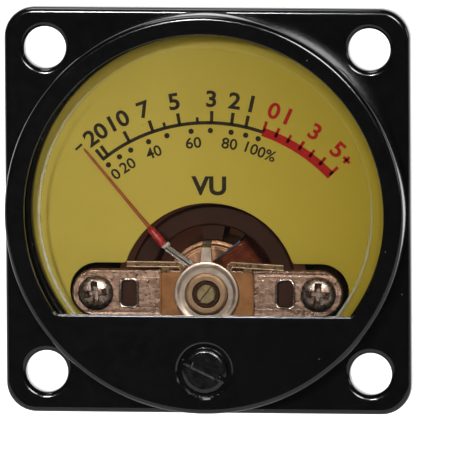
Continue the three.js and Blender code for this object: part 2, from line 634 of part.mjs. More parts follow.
function caseGroup() {
  const group = new THREE.Group();
  const caseScrew = rearScrewShape(CASE_SCREW, CUP.back);
  group.add(
    piece('housing', housingShape(), blackPlastic),
    piece('bezel_cap', bezelCapShape(), blackPlastic),
    piece('window_lens', windowLensShape(), clearPlastic),
    piece('dial_plate', dialPlateShape(), dialYellow),
    placed('case_screw_left', caseScrew, steel, -BRIDGE.screwX, 0, PIVOT_Z),
    placed('case_screw_right', caseScrew, steel, BRIDGE.screwX, 0, PIVOT_Z),
    placed('terminal_negative', terminalShape(), brass, -TERMINAL.x, 0, TERMINAL.z),
    placed('terminal_positive', terminalShape(), brass, TERMINAL.x, 0, TERMINAL.z),
    placed('lamp_holder', lampHolderShape(), paleResin, 0, 0, LAMP.z),
    placed('lamp_bulb', bulbShape(), clearPlastic, 0, 0, LAMP.z),
    placed('lamp_pin_left', rod(PIN.radius, PIN.front, PIN.back, 12), steel, -LAMP.pinX, 0, LAMP.z),
    placed('lamp_pin_right', rod(PIN.radius, PIN.front, PIN.back, 12), steel, LAMP.pinX, 0, LAMP.z),
    piece('frame_lead', leadShape(FRAME_LEAD), copper),
    piece('spring_lead', leadShape(SPRING_LEAD), copper),
  );
  return group;
}

// The fixed part of the movement, drawn about the pivot axis.
function movementGroup() {
  const group = new THREE.Group();
  group.position.z = PIVOT_Z;
  const rearScrew = rearScrewShape(REAR_SCREW, REAR.bridgeBack);
  const support = coreSupportShape();
  group.add(
    piece('movement_frame', movementFrameShape(), zinc),
    piece('yoke_ring', tube(YOKE.inner, YOKE.outer, YOKE.front, YOKE.back, ROUND.medium), zinc),
    piece('core_magnet', rod(CORE.radius, CORE.front, CORE.back, ROUND.medium), magnet),
    piece('core_support_upper', support, brass),
    piece('core_support_lower', support.clone().rotateY(Math.PI), brass),
    piece('front_bridge', frontBridgeShape(), nickel),
    placed('bridge_screw_left', bridgeScrewShape(), nickel, -BRIDGE.screwX, 0, 0),
    placed('bridge_screw_right', bridgeScrewShape(), nickel, BRIDGE.screwX, 0, 0),
    piece('pointer_stop_spring', pointerStopShape(), bronze),
    piece('bridge_bush', bushShape(), brass),
    piece('jewel_screw_front', jewelScrewShape(FRONT_BEARING.screwFront, FRONT_BEARING.screwBack), brass),
    piece('jewel_front', jewelShape(FRONT_BEARING.jewelBack), ruby),
    piece('rear_bridge', rearBridgeShape(), nickel),
    placed('rear_bridge_screw_left', rearScrew, steel, -REAR.postX, 0, 0),
    placed('rear_bridge_screw_right', rearScrew, steel, REAR.postX, 0, 0),
    piece('spring_tab_washer', washerShape(), paleResin),
    piece('rear_spring_tab', rearSpringTabShape(), brass),
    piece('jewel_nut_rear', nutShape(), brass),
    piece('jewel_screw_rear', faceRear(jewelScrewShape(-REAR_STACK.screwBack, -REAR_BEARING.screwFront)), brass),
    piece('jewel_rear', faceRear(jewelShape(-REAR_BEARING.jewelFront)), ruby),
    piece('hairspring_rear', hairspringShape(SPRING.rearY), bronze),
  );
  return group;
}

// The coil and pointer, turned to where they rest.
function movingCoilGroup() {
  const group = new THREE.Group();
  group.position.z = PIVOT_Z;
  const tailWeight = weightShape(WEIGHT.tail, WEIGHT.tailLength, -ARM.tail + WEIGHT.tailLength + 0.1);
  const crossWeight = weightShape(WEIGHT.cross, WEIGHT.crossLength, ARM.crossArm - WEIGHT.crossLength - 0.05);
  const pointer = new THREE.Group();
  pointer.rotation.y = radians(REST_ANGLE);
  pointer.add(
    piece('pointer_arm', pointerArmShape(), aluminium),
    piece('pointer', pointerShape(), redPaint),
    piece('balance_weight_tail', tailWeight, brass),
    piece('balance_weight_left', crossWeight.clone().rotateY(-Math.PI / 2), brass),
    piece('balance_weight_right', crossWeight.clone().rotateY(Math.PI / 2), brass),
  );
  const coil = new THREE.Group();
  coil.rotation.y = radians(COIL_ANGLE);
  coil.add(
    piece('coil_winding', windingShape(), copper),
    piece('coil_bobbin', bobbinShape(), aluminium),
  );
  group.add(
    pointer,
    coil,
    piece('front_pivot', spindleShape(COIL.front - FIT, FRONT_BEARING.tip), steel),
    piece('rear_pivot', faceRear(spindleShape(-COIL.back - FIT, -REAR_BEARING.tip)), steel),
  );
  return group;
}

function zeroAdjusterGroup() {
  const group = new THREE.Group();
  const lever = placed('zero_lever', zeroLeverShape(), nickel, 0, 0, PIVOT_Z);
  const spring = placed('hairspring_front', hairspringShape(SPRING.frontY), bronze, 0, 0, PIVOT_Z);
  group.add(
    placed('zero_screw', zeroScrewShape(), blackPlastic, 0, 0, ZERO.z),
    placed('zero_screw_retainer', retainerShape(), steel, 0, 0, ZERO.z),
    lever,
    spring,
  );
  return group;
}

const meter = new THREE.Group();
meter.add(caseGroup(), movementGroup(), movingCoilGroup(), zeroAdjusterGroup());
export default meter;
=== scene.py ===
"""The looks of a 35 mm square-flanged panel meter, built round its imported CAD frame."""
import json
import math

import bpy
import bmesh
from mathutils import Matrix, Vector, noise
from mathutils.geometry import tessellate_polygon


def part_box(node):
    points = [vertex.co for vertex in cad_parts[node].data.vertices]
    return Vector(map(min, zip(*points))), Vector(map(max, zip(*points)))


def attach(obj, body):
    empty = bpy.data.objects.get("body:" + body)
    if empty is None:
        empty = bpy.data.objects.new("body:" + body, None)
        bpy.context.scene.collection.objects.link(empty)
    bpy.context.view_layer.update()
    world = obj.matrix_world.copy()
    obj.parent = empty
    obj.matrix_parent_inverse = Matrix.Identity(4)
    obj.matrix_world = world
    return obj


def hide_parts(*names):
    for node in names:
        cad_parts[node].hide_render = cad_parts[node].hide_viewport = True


MM = 0.001

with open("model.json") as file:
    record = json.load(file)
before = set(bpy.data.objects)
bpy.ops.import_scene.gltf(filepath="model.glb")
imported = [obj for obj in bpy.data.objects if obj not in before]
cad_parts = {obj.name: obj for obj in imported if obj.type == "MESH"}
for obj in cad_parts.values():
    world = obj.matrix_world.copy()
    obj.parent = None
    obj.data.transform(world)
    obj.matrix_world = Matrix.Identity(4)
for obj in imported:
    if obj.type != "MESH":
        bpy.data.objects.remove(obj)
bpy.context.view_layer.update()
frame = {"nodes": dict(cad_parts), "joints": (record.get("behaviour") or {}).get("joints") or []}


# ---- Places from the frame, in millimetres ------------------------------------------------------

def corners(node):
    """The lowest and highest corner of a CAD node, in millimetres."""
    low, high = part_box(node)
    return Vector(low) / MM, Vector(high) / MM


def joint_place(name):
    """A joint's position in millimetres."""
    joint = next(j for j in frame["joints"] if j["name"] == name)
    return Vector(joint["pos_m"]) / MM


PIVOT = joint_place("pointer_swing")
ZERO_AXIS = joint_place("zero_screw_turn")
HOUSING_LOW, HOUSING_HIGH = corners("housing")
CAP_LOW, CAP_HIGH = corners("bezel_cap")
DIAL_LOW, DIAL_HIGH = corners("dial_plate")
LENS_LOW, LENS_HIGH = corners("window_lens")
BRIDGE_LOW, BRIDGE_HIGH = corners("front_bridge")
LEVER_LOW, LEVER_HIGH = corners("zero_lever")
STOP_LOW, STOP_HIGH = corners("pointer_stop_spring")
BUSH_LOW, BUSH_HIGH = corners("bridge_bush")
NEEDLE_LOW, NEEDLE_HIGH = corners("pointer")
CORE_LOW, CORE_HIGH = corners("core_magnet")
COIL_LOW, COIL_HIGH = corners("coil_winding")

# Sizes that the boxes don't give, in millimetres and degrees.
FLANGE_CORNER = 2.6
FLANGE_EDGE = 0.42
HOLE_SPACING = 28
HOLE_RADIUS = 1.8
CUP_RADIUS = 16.4
CUP_BORE = 15.2
CUP_REAR = 14.6
CUP_REAR_BORE = 13.7
CAP_EDGE = 0.4
WINDOW_RADIUS = 15.5
WINDOW_CHORD = -8.7
LIP = 0.45
DIAL_OPENING = 7.6
DIAL_MARGIN = 0.35
SCREW_X = 9.6
PUNCH_X = 6.75
COIL_TILT = 38.5
NEEDLE_Y = -1.4

NEEDLE_TIP = Vector((NEEDLE_LOW.x, NEEDLE_Y, NEEDLE_HIGH.z))
REST = math.atan2(NEEDLE_TIP.x - PIVOT.x, NEEDLE_TIP.z - PIVOT.z)


# ---- Outlines, as lists of (x, z) points --------------------------------------------------------

def arc(radius, start, end, steps, centre=(0, 0)):
    """Points along an arc, in degrees from the +X axis, both ends included."""
    turn = [math.radians(start + (end - start) * i / steps) for i in range(steps + 1)]
    return [(centre[0] + radius * math.cos(a), centre[1] + radius * math.sin(a)) for a in turn]


def circle(radius, steps=64, centre=(0, 0)):
    return arc(radius, 0, 360, steps, centre)[:-1]


def rounded_box(width, height, corner, steps=6, centre=(0, 0)):
    """A rectangle with round corners, anticlockwise."""
    x, z = width / 2 - corner, height / 2 - corner
    points = []
    for k, (sx, sz) in enumerate([(1, 1), (-1, 1), (-1, -1), (1, -1)]):
        middle = (centre[0] + sx * x, centre[1] + sz * z)
        points += arc(corner, 90 * k, 90 * k + 90, steps, middle)
    return points


def above_chord(radius, chord, steps=120, corner=0.35):
    """The part of a disc above a chord, with its two corners eased."""
    start = math.degrees(math.asin(chord / radius))
    outline = arc(radius, start, 180 - start, steps)
    return ease_corners(outline, [0, len(outline) - 1], corner)


def ease_corners(points, which, radius, steps=4):
    """The chosen corners of a closed outline, each replaced by a small curve."""
    result = []
    count = len(points)
    for i, point in enumerate(points):
        if i not in which:
            result.append(point)
            continue
        here = Vector(point)
        before = Vector(points[i - 1]) - here
        after = Vector(points[(i + 1) % count]) - here
        first = here + before.normalized() * min(radius, before.length * 0.9)
        last = here + after.normalized() * min(radius, after.length * 0.9)
        for k in range(steps + 1):
            t = k / steps
            result.append(tuple(first * (1 - t) ** 2 + here * 2 * t * (1 - t) + last * t * t))
    return result


def eased(points, radius, steps=4):
    """A closed outline with every corner eased."""
    return ease_corners(points, range(len(points)), radius, steps)


def turned_outline(points, angle, centre=(0, 0)):
    """An outline turned clockwise, as the reader sees it, by an angle in radians."""
    c, s = math.cos(angle), math.sin(angle)
    return [(centre[0] + x * c + z * s, centre[1] - x * s + z * c) for x, z in points]


def area(points):
    pairs = zip(points, points[1:] + points[:1])
    return sum(a[0] * b[1] - b[0] * a[1] for a, b in pairs) / 2


def inset(points, depth):
    """A closed outline moved by depth towards its left side, which is inward if it runs anticlockwise."""
    result = []
    count = len(points)
    for i, point in enumerate(points):
        here = Vector(point)
        before = (here - Vector(points[i - 1])).normalized()
        after = (Vector(points[(i + 1) % count]) - here).normalized()
        normal = Vector((-before.y - after.y, before.x + after.x))
        if normal.length < 1e-9:
            result.append(point)
            continue
        normal.normalize()
        lean = max(0.5, normal.dot(Vector((-before.y, before.x))))
        result.append(tuple(here + normal * depth / lean))
    return result


# ---- Shapes, as (vertices, faces) in millimetres ------------------------------------------------

def merged(*shapes):
    """Several shapes as one."""
    vertices, faces = [], []
    for more_vertices, more_faces in shapes:
        start = len(vertices)
        vertices += more_vertices
        faces += [tuple(start + i for i in face) for face in more_faces]
    return vertices, faces


def moved(shape, x=0, y=0, z=0):
    return [(a + x, b + y, c + z) for a, b, c in shape[0]], shape[1]


def placed(shape, matrix):
    return [tuple(matrix @ Vector(v)) for v in shape[0]], shape[1]


def plate(outline, holes=(), front=0, back=1, edge=0.05, steps=2):
    """A flat plate from y = front to y = back, with rounded edges all round."""
    loops = [outline if area(outline) > 0 else outline[::-1]]
    loops += [hole if area(hole) < 0 else hole[::-1] for hole in holes]
    sweep = [math.pi / 2 * k / steps for k in range(steps + 1)]
    levels = [(edge * (1 - math.sin(a)), front + edge * (1 - math.cos(a))) for a in sweep]
    levels += [(depth, front + back - y) for depth, y in reversed(levels)]
    vertices, faces, starts = [], [], []
    for loop in loops:
        count = len(loop)
        start = len(vertices)
        starts.append(start)
        for depth, y in levels:
            vertices += [(x, y, z) for x, z in inset(loop, depth)]
        for level in range(len(levels) - 1):
            a = start + level * count
            b = a + count
            faces += [(a + i, b + i, b + (i + 1) % count, a + (i + 1) % count) for i in range(count)]
    face_loops = [[Vector((x, z, 0)) for x, z in inset(loop, edge)] for loop in loops]
    lookup = [start + i for start, loop in zip(starts, loops) for i in range(len(loop))]
    rear = [start + (len(levels) - 1) * len(loop) + i for start, loop in zip(starts, loops) for i in range(len(loop))]
    for triangle in tessellate_polygon(face_loops):
        faces.append(tuple(lookup[i] for i in triangle))
        faces.append(tuple(rear[i] for i in reversed(triangle)))
    return vertices, faces


def lathe(profile, segments=64, closed=False):
    """A body of revolution about Y from (radius, y) points. An open profile starts and ends on the axis."""
    vertices, faces, rows = [], [], []
    for radius, y in profile:
        if radius < 1e-6:
            rows.append([len(vertices)] * segments)
            vertices.append((0, y, 0))
            continue
        rows.append(list(range(len(vertices), len(vertices) + segments)))
        turn = [2 * math.pi * i / segments for i in range(segments)]
        vertices += [(radius * math.cos(a), y, radius * math.sin(a)) for a in turn]
    pairs = list(zip(rows, rows[1:] + rows[:1])) if closed else list(zip(rows, rows[1:]))
    for first, second in pairs:
        for i in range(segments):
            k = (i + 1) % segments
            face = [first[i], first[k], second[k], second[i]]
            face = list(dict.fromkeys(face))
            if len(face) > 2:
                faces.append(tuple(face))
    return vertices, faces


def soft_profile(points, radius, steps=3):
    """A profile whose inner corners are eased, and whose ends stay."""
    inner = range(1, len(points) - 1)
    return ease_corners(points, inner, radius, steps)


def sweep(path, section, up=(0, 1, 0), closed=False, scale=None):
    """A section of (u, v) points swept along 3-D points. v runs along up."""
    count, sides = len(path), len(section)
    vertices, faces = [], []
    for i, point in enumerate(path):
        before = path[i - 1] if closed or i else path[i]
        after = path[(i + 1) % count] if closed or i < count - 1 else path[i]
        tangent = (Vector(after) - Vector(before)).normalized()
        side = tangent.cross(Vector(up)).normalized()
        rise = side.cross(tangent).normalized()
        size = scale[i] if scale else 1
        for u, v in section:
            vertices.append(tuple(Vector(point) + side * u * size + rise * v * size))
    for i in range(count if closed else count - 1):
        a, b = i * sides, ((i + 1) % count) * sides
        faces += [(a + k, a + (k + 1) % sides, b + (k + 1) % sides, b + k) for k in range(sides)]
    if not closed:
        faces.append(tuple(range(sides)))
        faces.append(tuple((count - 1) * sides + k for k in reversed(range(sides))))
    return vertices, faces


def bar(low, high, edge=0.05):
    """A block between two corners, with rounded edges seen from the front."""
    centre = ((low[0] + high[0]) / 2, (low[2] + high[2]) / 2)
    outline = rounded_box(high[0] - low[0], high[2] - low[2], edge, 3, centre)
    return plate(outline, (), low[1], high[1], edge)


def ball(radius, centre, stretch=(1, 1, 1), rings=8, segments=16):
    """A rounded bead."""
    profile = [(radius * math.sin(math.pi * k / rings), -radius * math.cos(math.pi * k / rings))
               for k in range(rings + 1)]
    vertices, faces = lathe(profile, segments)
    grown = [tuple(c + v * s for c, v, s in zip(centre, vertex, stretch)) for vertex in vertices]
    return grown, faces


# ---- Blender objects ----------------------------------------------------------------------------

def make_object(name, shape, sharp=35):
    """A mesh object from a shape in millimetres, with outward faces and smooth shading up to an angle."""
    vertices, faces = shape
    mesh = bpy.data.meshes.new(name)
    mesh.from_pydata([tuple(c * MM for c in v) for v in vertices], [], faces)
    tidy_mesh(mesh, sharp)
    obj = bpy.data.objects.new(name, mesh)
    bpy.context.scene.collection.objects.link(obj)
    return obj


def tidy_mesh(mesh, sharp):
    work = bmesh.new()
    work.from_mesh(mesh)
    bmesh.ops.remove_doubles(work, verts=work.verts, dist=1e-7)
    bmesh.ops.recalc_face_normals(work, faces=work.faces)
    work.to_mesh(mesh)
    work.free()
    mesh.shade_smooth()
    mesh.set_sharp_from_angle(angle=math.radians(sharp))
    for polygon in mesh.polygons:
        polygon.use_smooth = abs(polygon.normal.y) < 0.9999


def cut(obj, shapes, sharp=35):
    """Cuts shapes out of an object."""
    cutters = [make_object("cutter", shape) for shape in shapes]
    for cutter in cutters:
        change = obj.modifiers.new("cut", "BOOLEAN")
        change.object = cutter
        change.operation = "DIFFERENCE"
        change.solver = "EXACT"
    graph = bpy.context.evaluated_depsgraph_get()
    mesh = bpy.data.meshes.new_from_object(obj.evaluated_get(graph))
    obj.modifiers.clear()
    obj.data = mesh
    tidy_mesh(mesh, sharp)
    for cutter in cutters:
        bpy.data.objects.remove(cutter)
    return obj


def show(obj, material, body="case", stands_for=()):
    """Gives a piece its material and its body, and hides the CAD nodes that it stands for."""
    obj.data.materials.clear()
    obj.data.materials.append(material)
    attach(obj, body)
    if stands_for:
        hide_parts(*stands_for)
    return obj


def piece(name, shape, material, body="case", stands_for=(), sharp=35):
    return show(make_object(name, shape, sharp), material, body, stands_for)


# ---- Materials ----------------------------------------------------------------------------------

class Nodes:
    """A material's node tree, with short calls for the nodes that the materials here use."""

    def __init__(self, name):
        self.material = bpy.data.materials.new(name)
        self.material.use_nodes = True
        self.tree = self.material.node_tree
        self.tree.nodes.clear()
        self.output = self.add("ShaderNodeOutputMaterial")
        self.place = self.add("ShaderNodeTexCoord").outputs["Object"]

    def add(self, kind, **settings):
        node = self.tree.nodes.new(kind)
        for key, value in settings.items():
            setattr(node, key, value)
        return node

    def link(self, source, target):
        self.tree.links.new(source, target)

    def scaled(self, stretch):
        """Object coordinates in millimetres, divided by a stretch along each axis."""
        mapping = self.add("ShaderNodeMapping")
        mapping.inputs["Scale"].default_value = [1 / MM / s for s in stretch]
        self.link(self.place, mapping.inputs["Vector"])
        return mapping.outputs["Vector"]

    def noise(self, size, detail=4, stretch=(1, 1, 1), rough=0.55):
        """Noise whose features are about size millimetres across."""
        node = self.add("ShaderNodeTexNoise")
        node.inputs["Scale"].default_value = 1 / size
        node.inputs["Detail"].default_value = detail
        node.inputs["Roughness"].default_value = rough
        self.link(self.scaled(stretch), node.inputs["Vector"])
        return node.outputs["Fac"]

    def ramp(self, source, stops):
        """A colour ramp from (position, colour or grey) stops."""
        node = self.add("ShaderNodeValToRGB")
        while len(node.color_ramp.elements) < len(stops):
            node.color_ramp.elements.new(0.5)
        for element, (position, colour) in zip(node.color_ramp.elements, stops):
            grey = isinstance(colour, (int, float))
            element.position = position
            element.color = (colour, colour, colour, 1) if grey else (*colour, 1)
        self.link(source, node.inputs["Fac"])
        return node.outputs["Color"]

    def mix(self, factor, first, second):
        """A colour mix. Each side is a colour or a socket."""
        node = self.add("ShaderNodeMix", data_type="RGBA")
        self.link(factor, node.inputs["Factor"])
        for value, target in ((first, node.inputs[6]), (second, node.inputs[7])):
            if isinstance(value, tuple):
                target.default_value = (*value, 1)
            else:
                self.link(value, target)
        return node.outputs[2]

    def specks(self, spacing, size, share):
        """1 inside small round specks, of which only a share of the cells has one."""
        cells = self.add("ShaderNodeTexVoronoi")
        cells.inputs["Scale"].default_value = 1 / spacing
        self.link(self.scaled((1, 1, 1)), cells.inputs["Vector"])
        near = self.add("ShaderNodeMath", operation="LESS_THAN")
        self.link(cells.outputs["Distance"], near.inputs[0])
        near.inputs[1].default_value = size / spacing
        pick = self.add("ShaderNodeSeparateColor")
        self.link(cells.outputs["Color"], pick.inputs["Color"])
        chosen = self.add("ShaderNodeMath", operation="LESS_THAN")
        self.link(pick.outputs["Red"], chosen.inputs[0])
        chosen.inputs[1].default_value = share
        both = self.add("ShaderNodeMath", operation="MULTIPLY")
        self.link(near.outputs[0], both.inputs[0])
        self.link(chosen.outputs[0], both.inputs[1])
        return both.outputs[0]

    def surface(self, colour, roughness, metallic=0.0, bump=None, bump_depth=0.01, **sockets):
        """A Principled surface. colour and roughness are values or sockets, and bump_depth is in millimetres."""
        shader = self.add("ShaderNodeBsdfPrincipled")
        shader.inputs["Metallic"].default_value = metallic
        for key, value in (("Base Color", colour), ("Roughness", roughness)):
            if isinstance(value, tuple):
                shader.inputs[key].default_value = (*value, 1)
            elif isinstance(value, (int, float)):
                shader.inputs[key].default_value = value
            else:
                self.link(value, shader.inputs[key])
        for key, value in sockets.items():
            shader.inputs[key.replace("_", " ")].default_value = value
        if bump is not None:
            node = self.add("ShaderNodeBump")
            node.inputs["Distance"].default_value = bump_depth * MM
            self.link(bump, node.inputs["Height"])
            self.link(node.outputs["Normal"], shader.inputs["Normal"])
        self.link(shader.outputs[0], self.output.inputs["Surface"])
        return self.material

    def blend(self, weight, first, second):
        """A mix of two shaders as the surface."""
        mixed = self.add("ShaderNodeMixShader")
        self.link(weight, mixed.inputs[0])
        self.link(first.outputs[0], mixed.inputs[1])
        self.link(second.outputs[0], mixed.inputs[2])
        self.link(mixed.outputs[0], self.output.inputs["Surface"])
        return self.material


def black_plastic():
    nodes = Nodes("black_plastic")
    base = nodes.ramp(nodes.noise(3, 3), [(0.3, (0.0022, 0.0022, 0.0024)), (0.7, (0.0034, 0.0034, 0.0037))])
    lint = nodes.ramp(nodes.noise(0.35, 6, (7, 1, 1)), [(0.7, 0.0), (0.76, 0.5)])
    base = nodes.mix(lint, base, (0.02, 0.02, 0.022))
    base = nodes.mix(nodes.specks(1.1, 0.045, 0.3), base, (0.22, 0.22, 0.23))
    rough = nodes.ramp(nodes.noise(0.8, 5), [(0.3, 0.11), (0.7, 0.16)])
    return nodes.surface(base, rough, bump=nodes.noise(0.35, 4), bump_depth=0.003)


def satin_black():
    nodes = Nodes("satin_black_plastic")
    base = nodes.ramp(nodes.noise(2, 3), [(0.3, (0.002, 0.002, 0.0022)), (0.7, (0.004, 0.004, 0.0043))])
    scuffs = nodes.ramp(nodes.noise(0.3, 6, (4, 1, 1)), [(0.62, 0.0), (0.7, 1.0)])
    base = nodes.mix(scuffs, base, (0.011, 0.011, 0.012))
    rough = nodes.ramp(nodes.noise(0.5, 5), [(0.3, 0.13), (0.7, 0.24)])
    return nodes.surface(base, rough, bump=nodes.noise(0.3, 5), bump_depth=0.008)


def clear_window():
    """Clear plastic: mostly see-through, with the reflection that its index gives."""
    nodes = Nodes("clear_plastic")
    through = nodes.add("ShaderNodeBsdfTransparent")
    through.inputs["Color"].default_value = (0.96, 0.97, 0.95, 1)
    gloss = nodes.add("ShaderNodeBsdfPrincipled")
    gloss.inputs["Base Color"].default_value = (1, 1, 1, 1)
    gloss.inputs["Metallic"].default_value = 1
    rough = nodes.ramp(nodes.noise(2.5, 3), [(0.35, 0.03), (0.65, 0.09)])
    nodes.link(rough, gloss.inputs["Roughness"])
    fresnel = nodes.add("ShaderNodeFresnel")
    fresnel.inputs["IOR"].default_value = 1.42
    weight = nodes.add("ShaderNodeMath", operation="MULTIPLY_ADD")
    nodes.link(nodes.specks(2.2, 0.05, 0.25), weight.inputs[0])
    weight.inputs[1].default_value = 0.3
    nodes.link(fresnel.outputs[0], weight.inputs[2])
    return nodes.blend(weight.outputs[0], through, gloss)


def frosted_rim_painted_light():
    """The window's moulded rim, a pale frosted line. Its fade towards the top and a little towards the right is painted
    light, where the light catches it.
    """
    nodes = Nodes("frosted_rim_painted_light")
    through = nodes.add("ShaderNodeBsdfTransparent")
    haze = nodes.add("ShaderNodeBsdfPrincipled")
    haze.inputs["Base Color"].default_value = (0.8, 0.78, 0.68, 1)
    haze.inputs["Roughness"].default_value = 0.3
    # Painted light: the haze weakens with height and a little towards +X.
    painted_light_slope = nodes.add("ShaderNodeVectorMath", operation="DOT_PRODUCT")
    painted_light_slope.inputs[1].default_value = (0.35, 0, 1)
    nodes.link(nodes.place, painted_light_slope.inputs[0])
    height = nodes.add("ShaderNodeMapRange")
    height.inputs["From Min"].default_value = -12 * MM
    height.inputs["From Max"].default_value = 8 * MM
    height.inputs["To Min"].default_value = 1
    height.inputs["To Max"].default_value = 0.05
    nodes.link(painted_light_slope.outputs["Value"], height.inputs["Value"])
    patchy = nodes.ramp(nodes.noise(1.8, 3), [(0.35, 0.35), (0.65, 0.85)])
    weight = nodes.add("ShaderNodeMath", operation="MULTIPLY")
    nodes.link(height.outputs[0], weight.inputs[0])
    nodes.link(patchy, weight.inputs[1])
    return nodes.blend(weight.outputs[0], through, haze)


def dial_yellow():
    nodes = Nodes("dial_yellow")
    cloud = nodes.ramp(nodes.noise(6, 4), [(0.3, (0.53, 0.385, 0.056)), (0.7, (0.57, 0.42, 0.066))])
    place = nodes.add("ShaderNodeSeparateXYZ")
    nodes.link(nodes.place, place.inputs[0])
    # Painted shade: the dial colour turns darker and deeper yellow towards +X, the right of the dial, in place of light
    # that falls off across it.
    across = nodes.add("ShaderNodeMapRange")
    across.inputs["From Min"].default_value = -4 * MM
    across.inputs["From Max"].default_value = 14 * MM
    nodes.link(place.outputs["X"], across.inputs["Value"])
    with_painted_shade = nodes.mix(across.outputs[0], cloud, (0.5, 0.35, 0.02))
    base = nodes.mix(nodes.specks(3, 0.05, 0.35), with_painted_shade, (0.2, 0.15, 0.03))
    rough = nodes.ramp(nodes.noise(0.5, 4), [(0.3, 0.5), (0.7, 0.62)])
    return nodes.surface(base, rough, bump=nodes.noise(0.15, 3), bump_depth=0.004, Specular_IOR_Level=0.2)


def print_ink(name, colour, darker):
    nodes = Nodes(name)
    base = nodes.ramp(nodes.noise(0.4, 4), [(0.35, darker), (0.65, colour)])
    rough = nodes.ramp(nodes.noise(0.3, 3), [(0.3, 0.5), (0.7, 0.65)])
    return nodes.surface(base, rough, Specular_IOR_Level=0.15)


def metal(name, light, dark, rough, mottle=0.5, bump_size=0.2, bump_depth=0.012, grain=(1, 1, 1)):
    """A worn metal: two tones in patches, uneven roughness and a fine grain."""
    nodes = Nodes(name)
    patches = nodes.noise(mottle, 5, grain, 0.65)
    base = nodes.ramp(patches, [(0.32, dark), (0.68, light)])
    low, high = rough
    uneven = nodes.ramp(nodes.noise(mottle * 0.6, 5, grain), [(0.3, low), (0.7, high)])
    return nodes.surface(base, uneven, 1.0, nodes.noise(bump_size, 5, grain, 0.6), bump_depth)


BLACK = black_plastic()
SATIN = satin_black()
CLEAR = clear_window()
RIM_PAINTED_LIGHT = frosted_rim_painted_light()
YELLOW = dial_yellow()
INK = print_ink("black_ink", (0.034, 0.02, 0.009), (0.02, 0.012, 0.006))
RED_INK = print_ink("red_ink", (0.5, 0.008, 0.004), (0.4, 0.006, 0.003))
NICKEL = metal("mottled_nickel", (0.38, 0.235, 0.18), (0.14, 0.075, 0.055), (0.22, 0.44), 0.4, 0.16, 0.035)
SCREW_NICKEL = metal("screw_nickel", (0.56, 0.42, 0.36), (0.24, 0.16, 0.13), (0.2, 0.4), 0.4, 0.2, 0.016)
# A lighter copy of the nickel, as a painted highlight on the rims of the punched windows.
HIGHLIGHT_NICKEL = metal("painted_highlight_nickel", (0.85, 0.7, 0.62), (0.42, 0.31, 0.26), (0.14, 0.3), 0.3, 0.2, 0.012)
PLATED = metal("plated_disc", (0.5, 0.375, 0.315), (0.34, 0.25, 0.2), (0.3, 0.44), 1.2, 0.3, 0.005)
COPPER_PLATE = metal("copper_strip", (0.31, 0.135, 0.055), (0.21, 0.087, 0.037), (0.34, 0.5), 0.8, 0.2, 0.008)
STRIP_BRASS = metal("strip_brass", (0.3, 0.17, 0.09), (0.18, 0.095, 0.05), (0.22, 0.38), 0.5, 0.15, 0.005)
# A light brass, as a painted highlight along the edges of the stop strips.
HIGHLIGHT_BRASS = metal("painted_highlight_brass", (0.95, 0.7, 0.48), (0.62, 0.42, 0.27), (0.3, 0.5), 0.5, 0.15, 0.005)
DISH = metal("tan_dish", (0.31, 0.185, 0.11), (0.23, 0.135, 0.08), (0.42, 0.55), 0.9, 0.25, 0.004)
BRASS = metal("turned_brass", (0.27, 0.19, 0.1), (0.16, 0.115, 0.06), (0.32, 0.48), 0.4, 0.1, 0.012)
STEEL = metal("bright_steel", (0.58, 0.58, 0.6), (0.4, 0.4, 0.42), (0.22, 0.4), 0.8, 0.2, 0.01)
TIN = metal("tinned_brass", (0.7, 0.69, 0.66), (0.5, 0.48, 0.44), (0.25, 0.45), 0.7, 0.2, 0.015)
CORE_FACE = metal("core_face", (0.5, 0.26, 0.15), (0.26, 0.12, 0.065), (0.4, 0.55), 0.7, 0.2, 0.02)
FOIL = metal("crumpled_foil", (0.42, 0.36, 0.33), (0.2, 0.16, 0.15), (0.25, 0.5), 0.3, 0.25, 0.08)
BLUED = metal("blue_edge", (0.14, 0.18, 0.26), (0.06, 0.08, 0.12), (0.25, 0.4), 0.5, 0.2, 0.01)


def brown_lacquer():
    """The dark brown finish of the frame and yoke."""
    nodes = Nodes("brown_lacquer")
    base = nodes.ramp(nodes.noise(1.5, 4), [(0.3, (0.04, 0.0125, 0.006)), (0.7, (0.052, 0.017, 0.0085))])
    rough = nodes.ramp(nodes.noise(0.4, 4), [(0.3, 0.5), (0.7, 0.65)])
    return nodes.surface(base, rough, bump=nodes.noise(0.15, 4), bump_depth=0.006, Specular_IOR_Level=0.12)


def painted_glow_depth():
    """The brown lacquer deep in the case, with painted light: a weak emission in place of the dim light that reaches
    down there.
    """
    nodes = Nodes("painted_glow_depth")
    base = nodes.ramp(nodes.noise(1.5, 4), [(0.3, (0.04, 0.0125, 0.006)), (0.7, (0.052, 0.017, 0.0085))])
    painted_glow_sockets = {"Emission_Color": (0.034, 0.0115, 0.0062, 1), "Emission_Strength": 1, "Specular_IOR_Level": 0.1}
    return nodes.surface(base, 0.7, bump=nodes.noise(0.3, 3), bump_depth=0.01, **painted_glow_sockets)


BROWN = brown_lacquer()
PAINTED_GLOW = painted_glow_depth()


def enamelled_wire():
    nodes = Nodes("enamelled_wire")
    base = nodes.ramp(nodes.noise(0.5, 4), [(0.3, (0.22, 0.045, 0.02)), (0.7, (0.42, 0.1, 0.045))])
    return nodes.surface(base, 0.3, 0.6, Coat_Weight=0.4)


def red_paint():
    nodes = Nodes("red_paint")
    base = nodes.ramp(nodes.noise(0.35, 4), [(0.35, (0.26, 0.012, 0.012)), (0.65, (0.5, 0.03, 0.026))])
    rough = nodes.ramp(nodes.noise(0.2, 4), [(0.3, 0.2), (0.7, 0.4)])
    return nodes.surface(base, rough, bump=nodes.noise(0.2, 4), bump_depth=0.03)


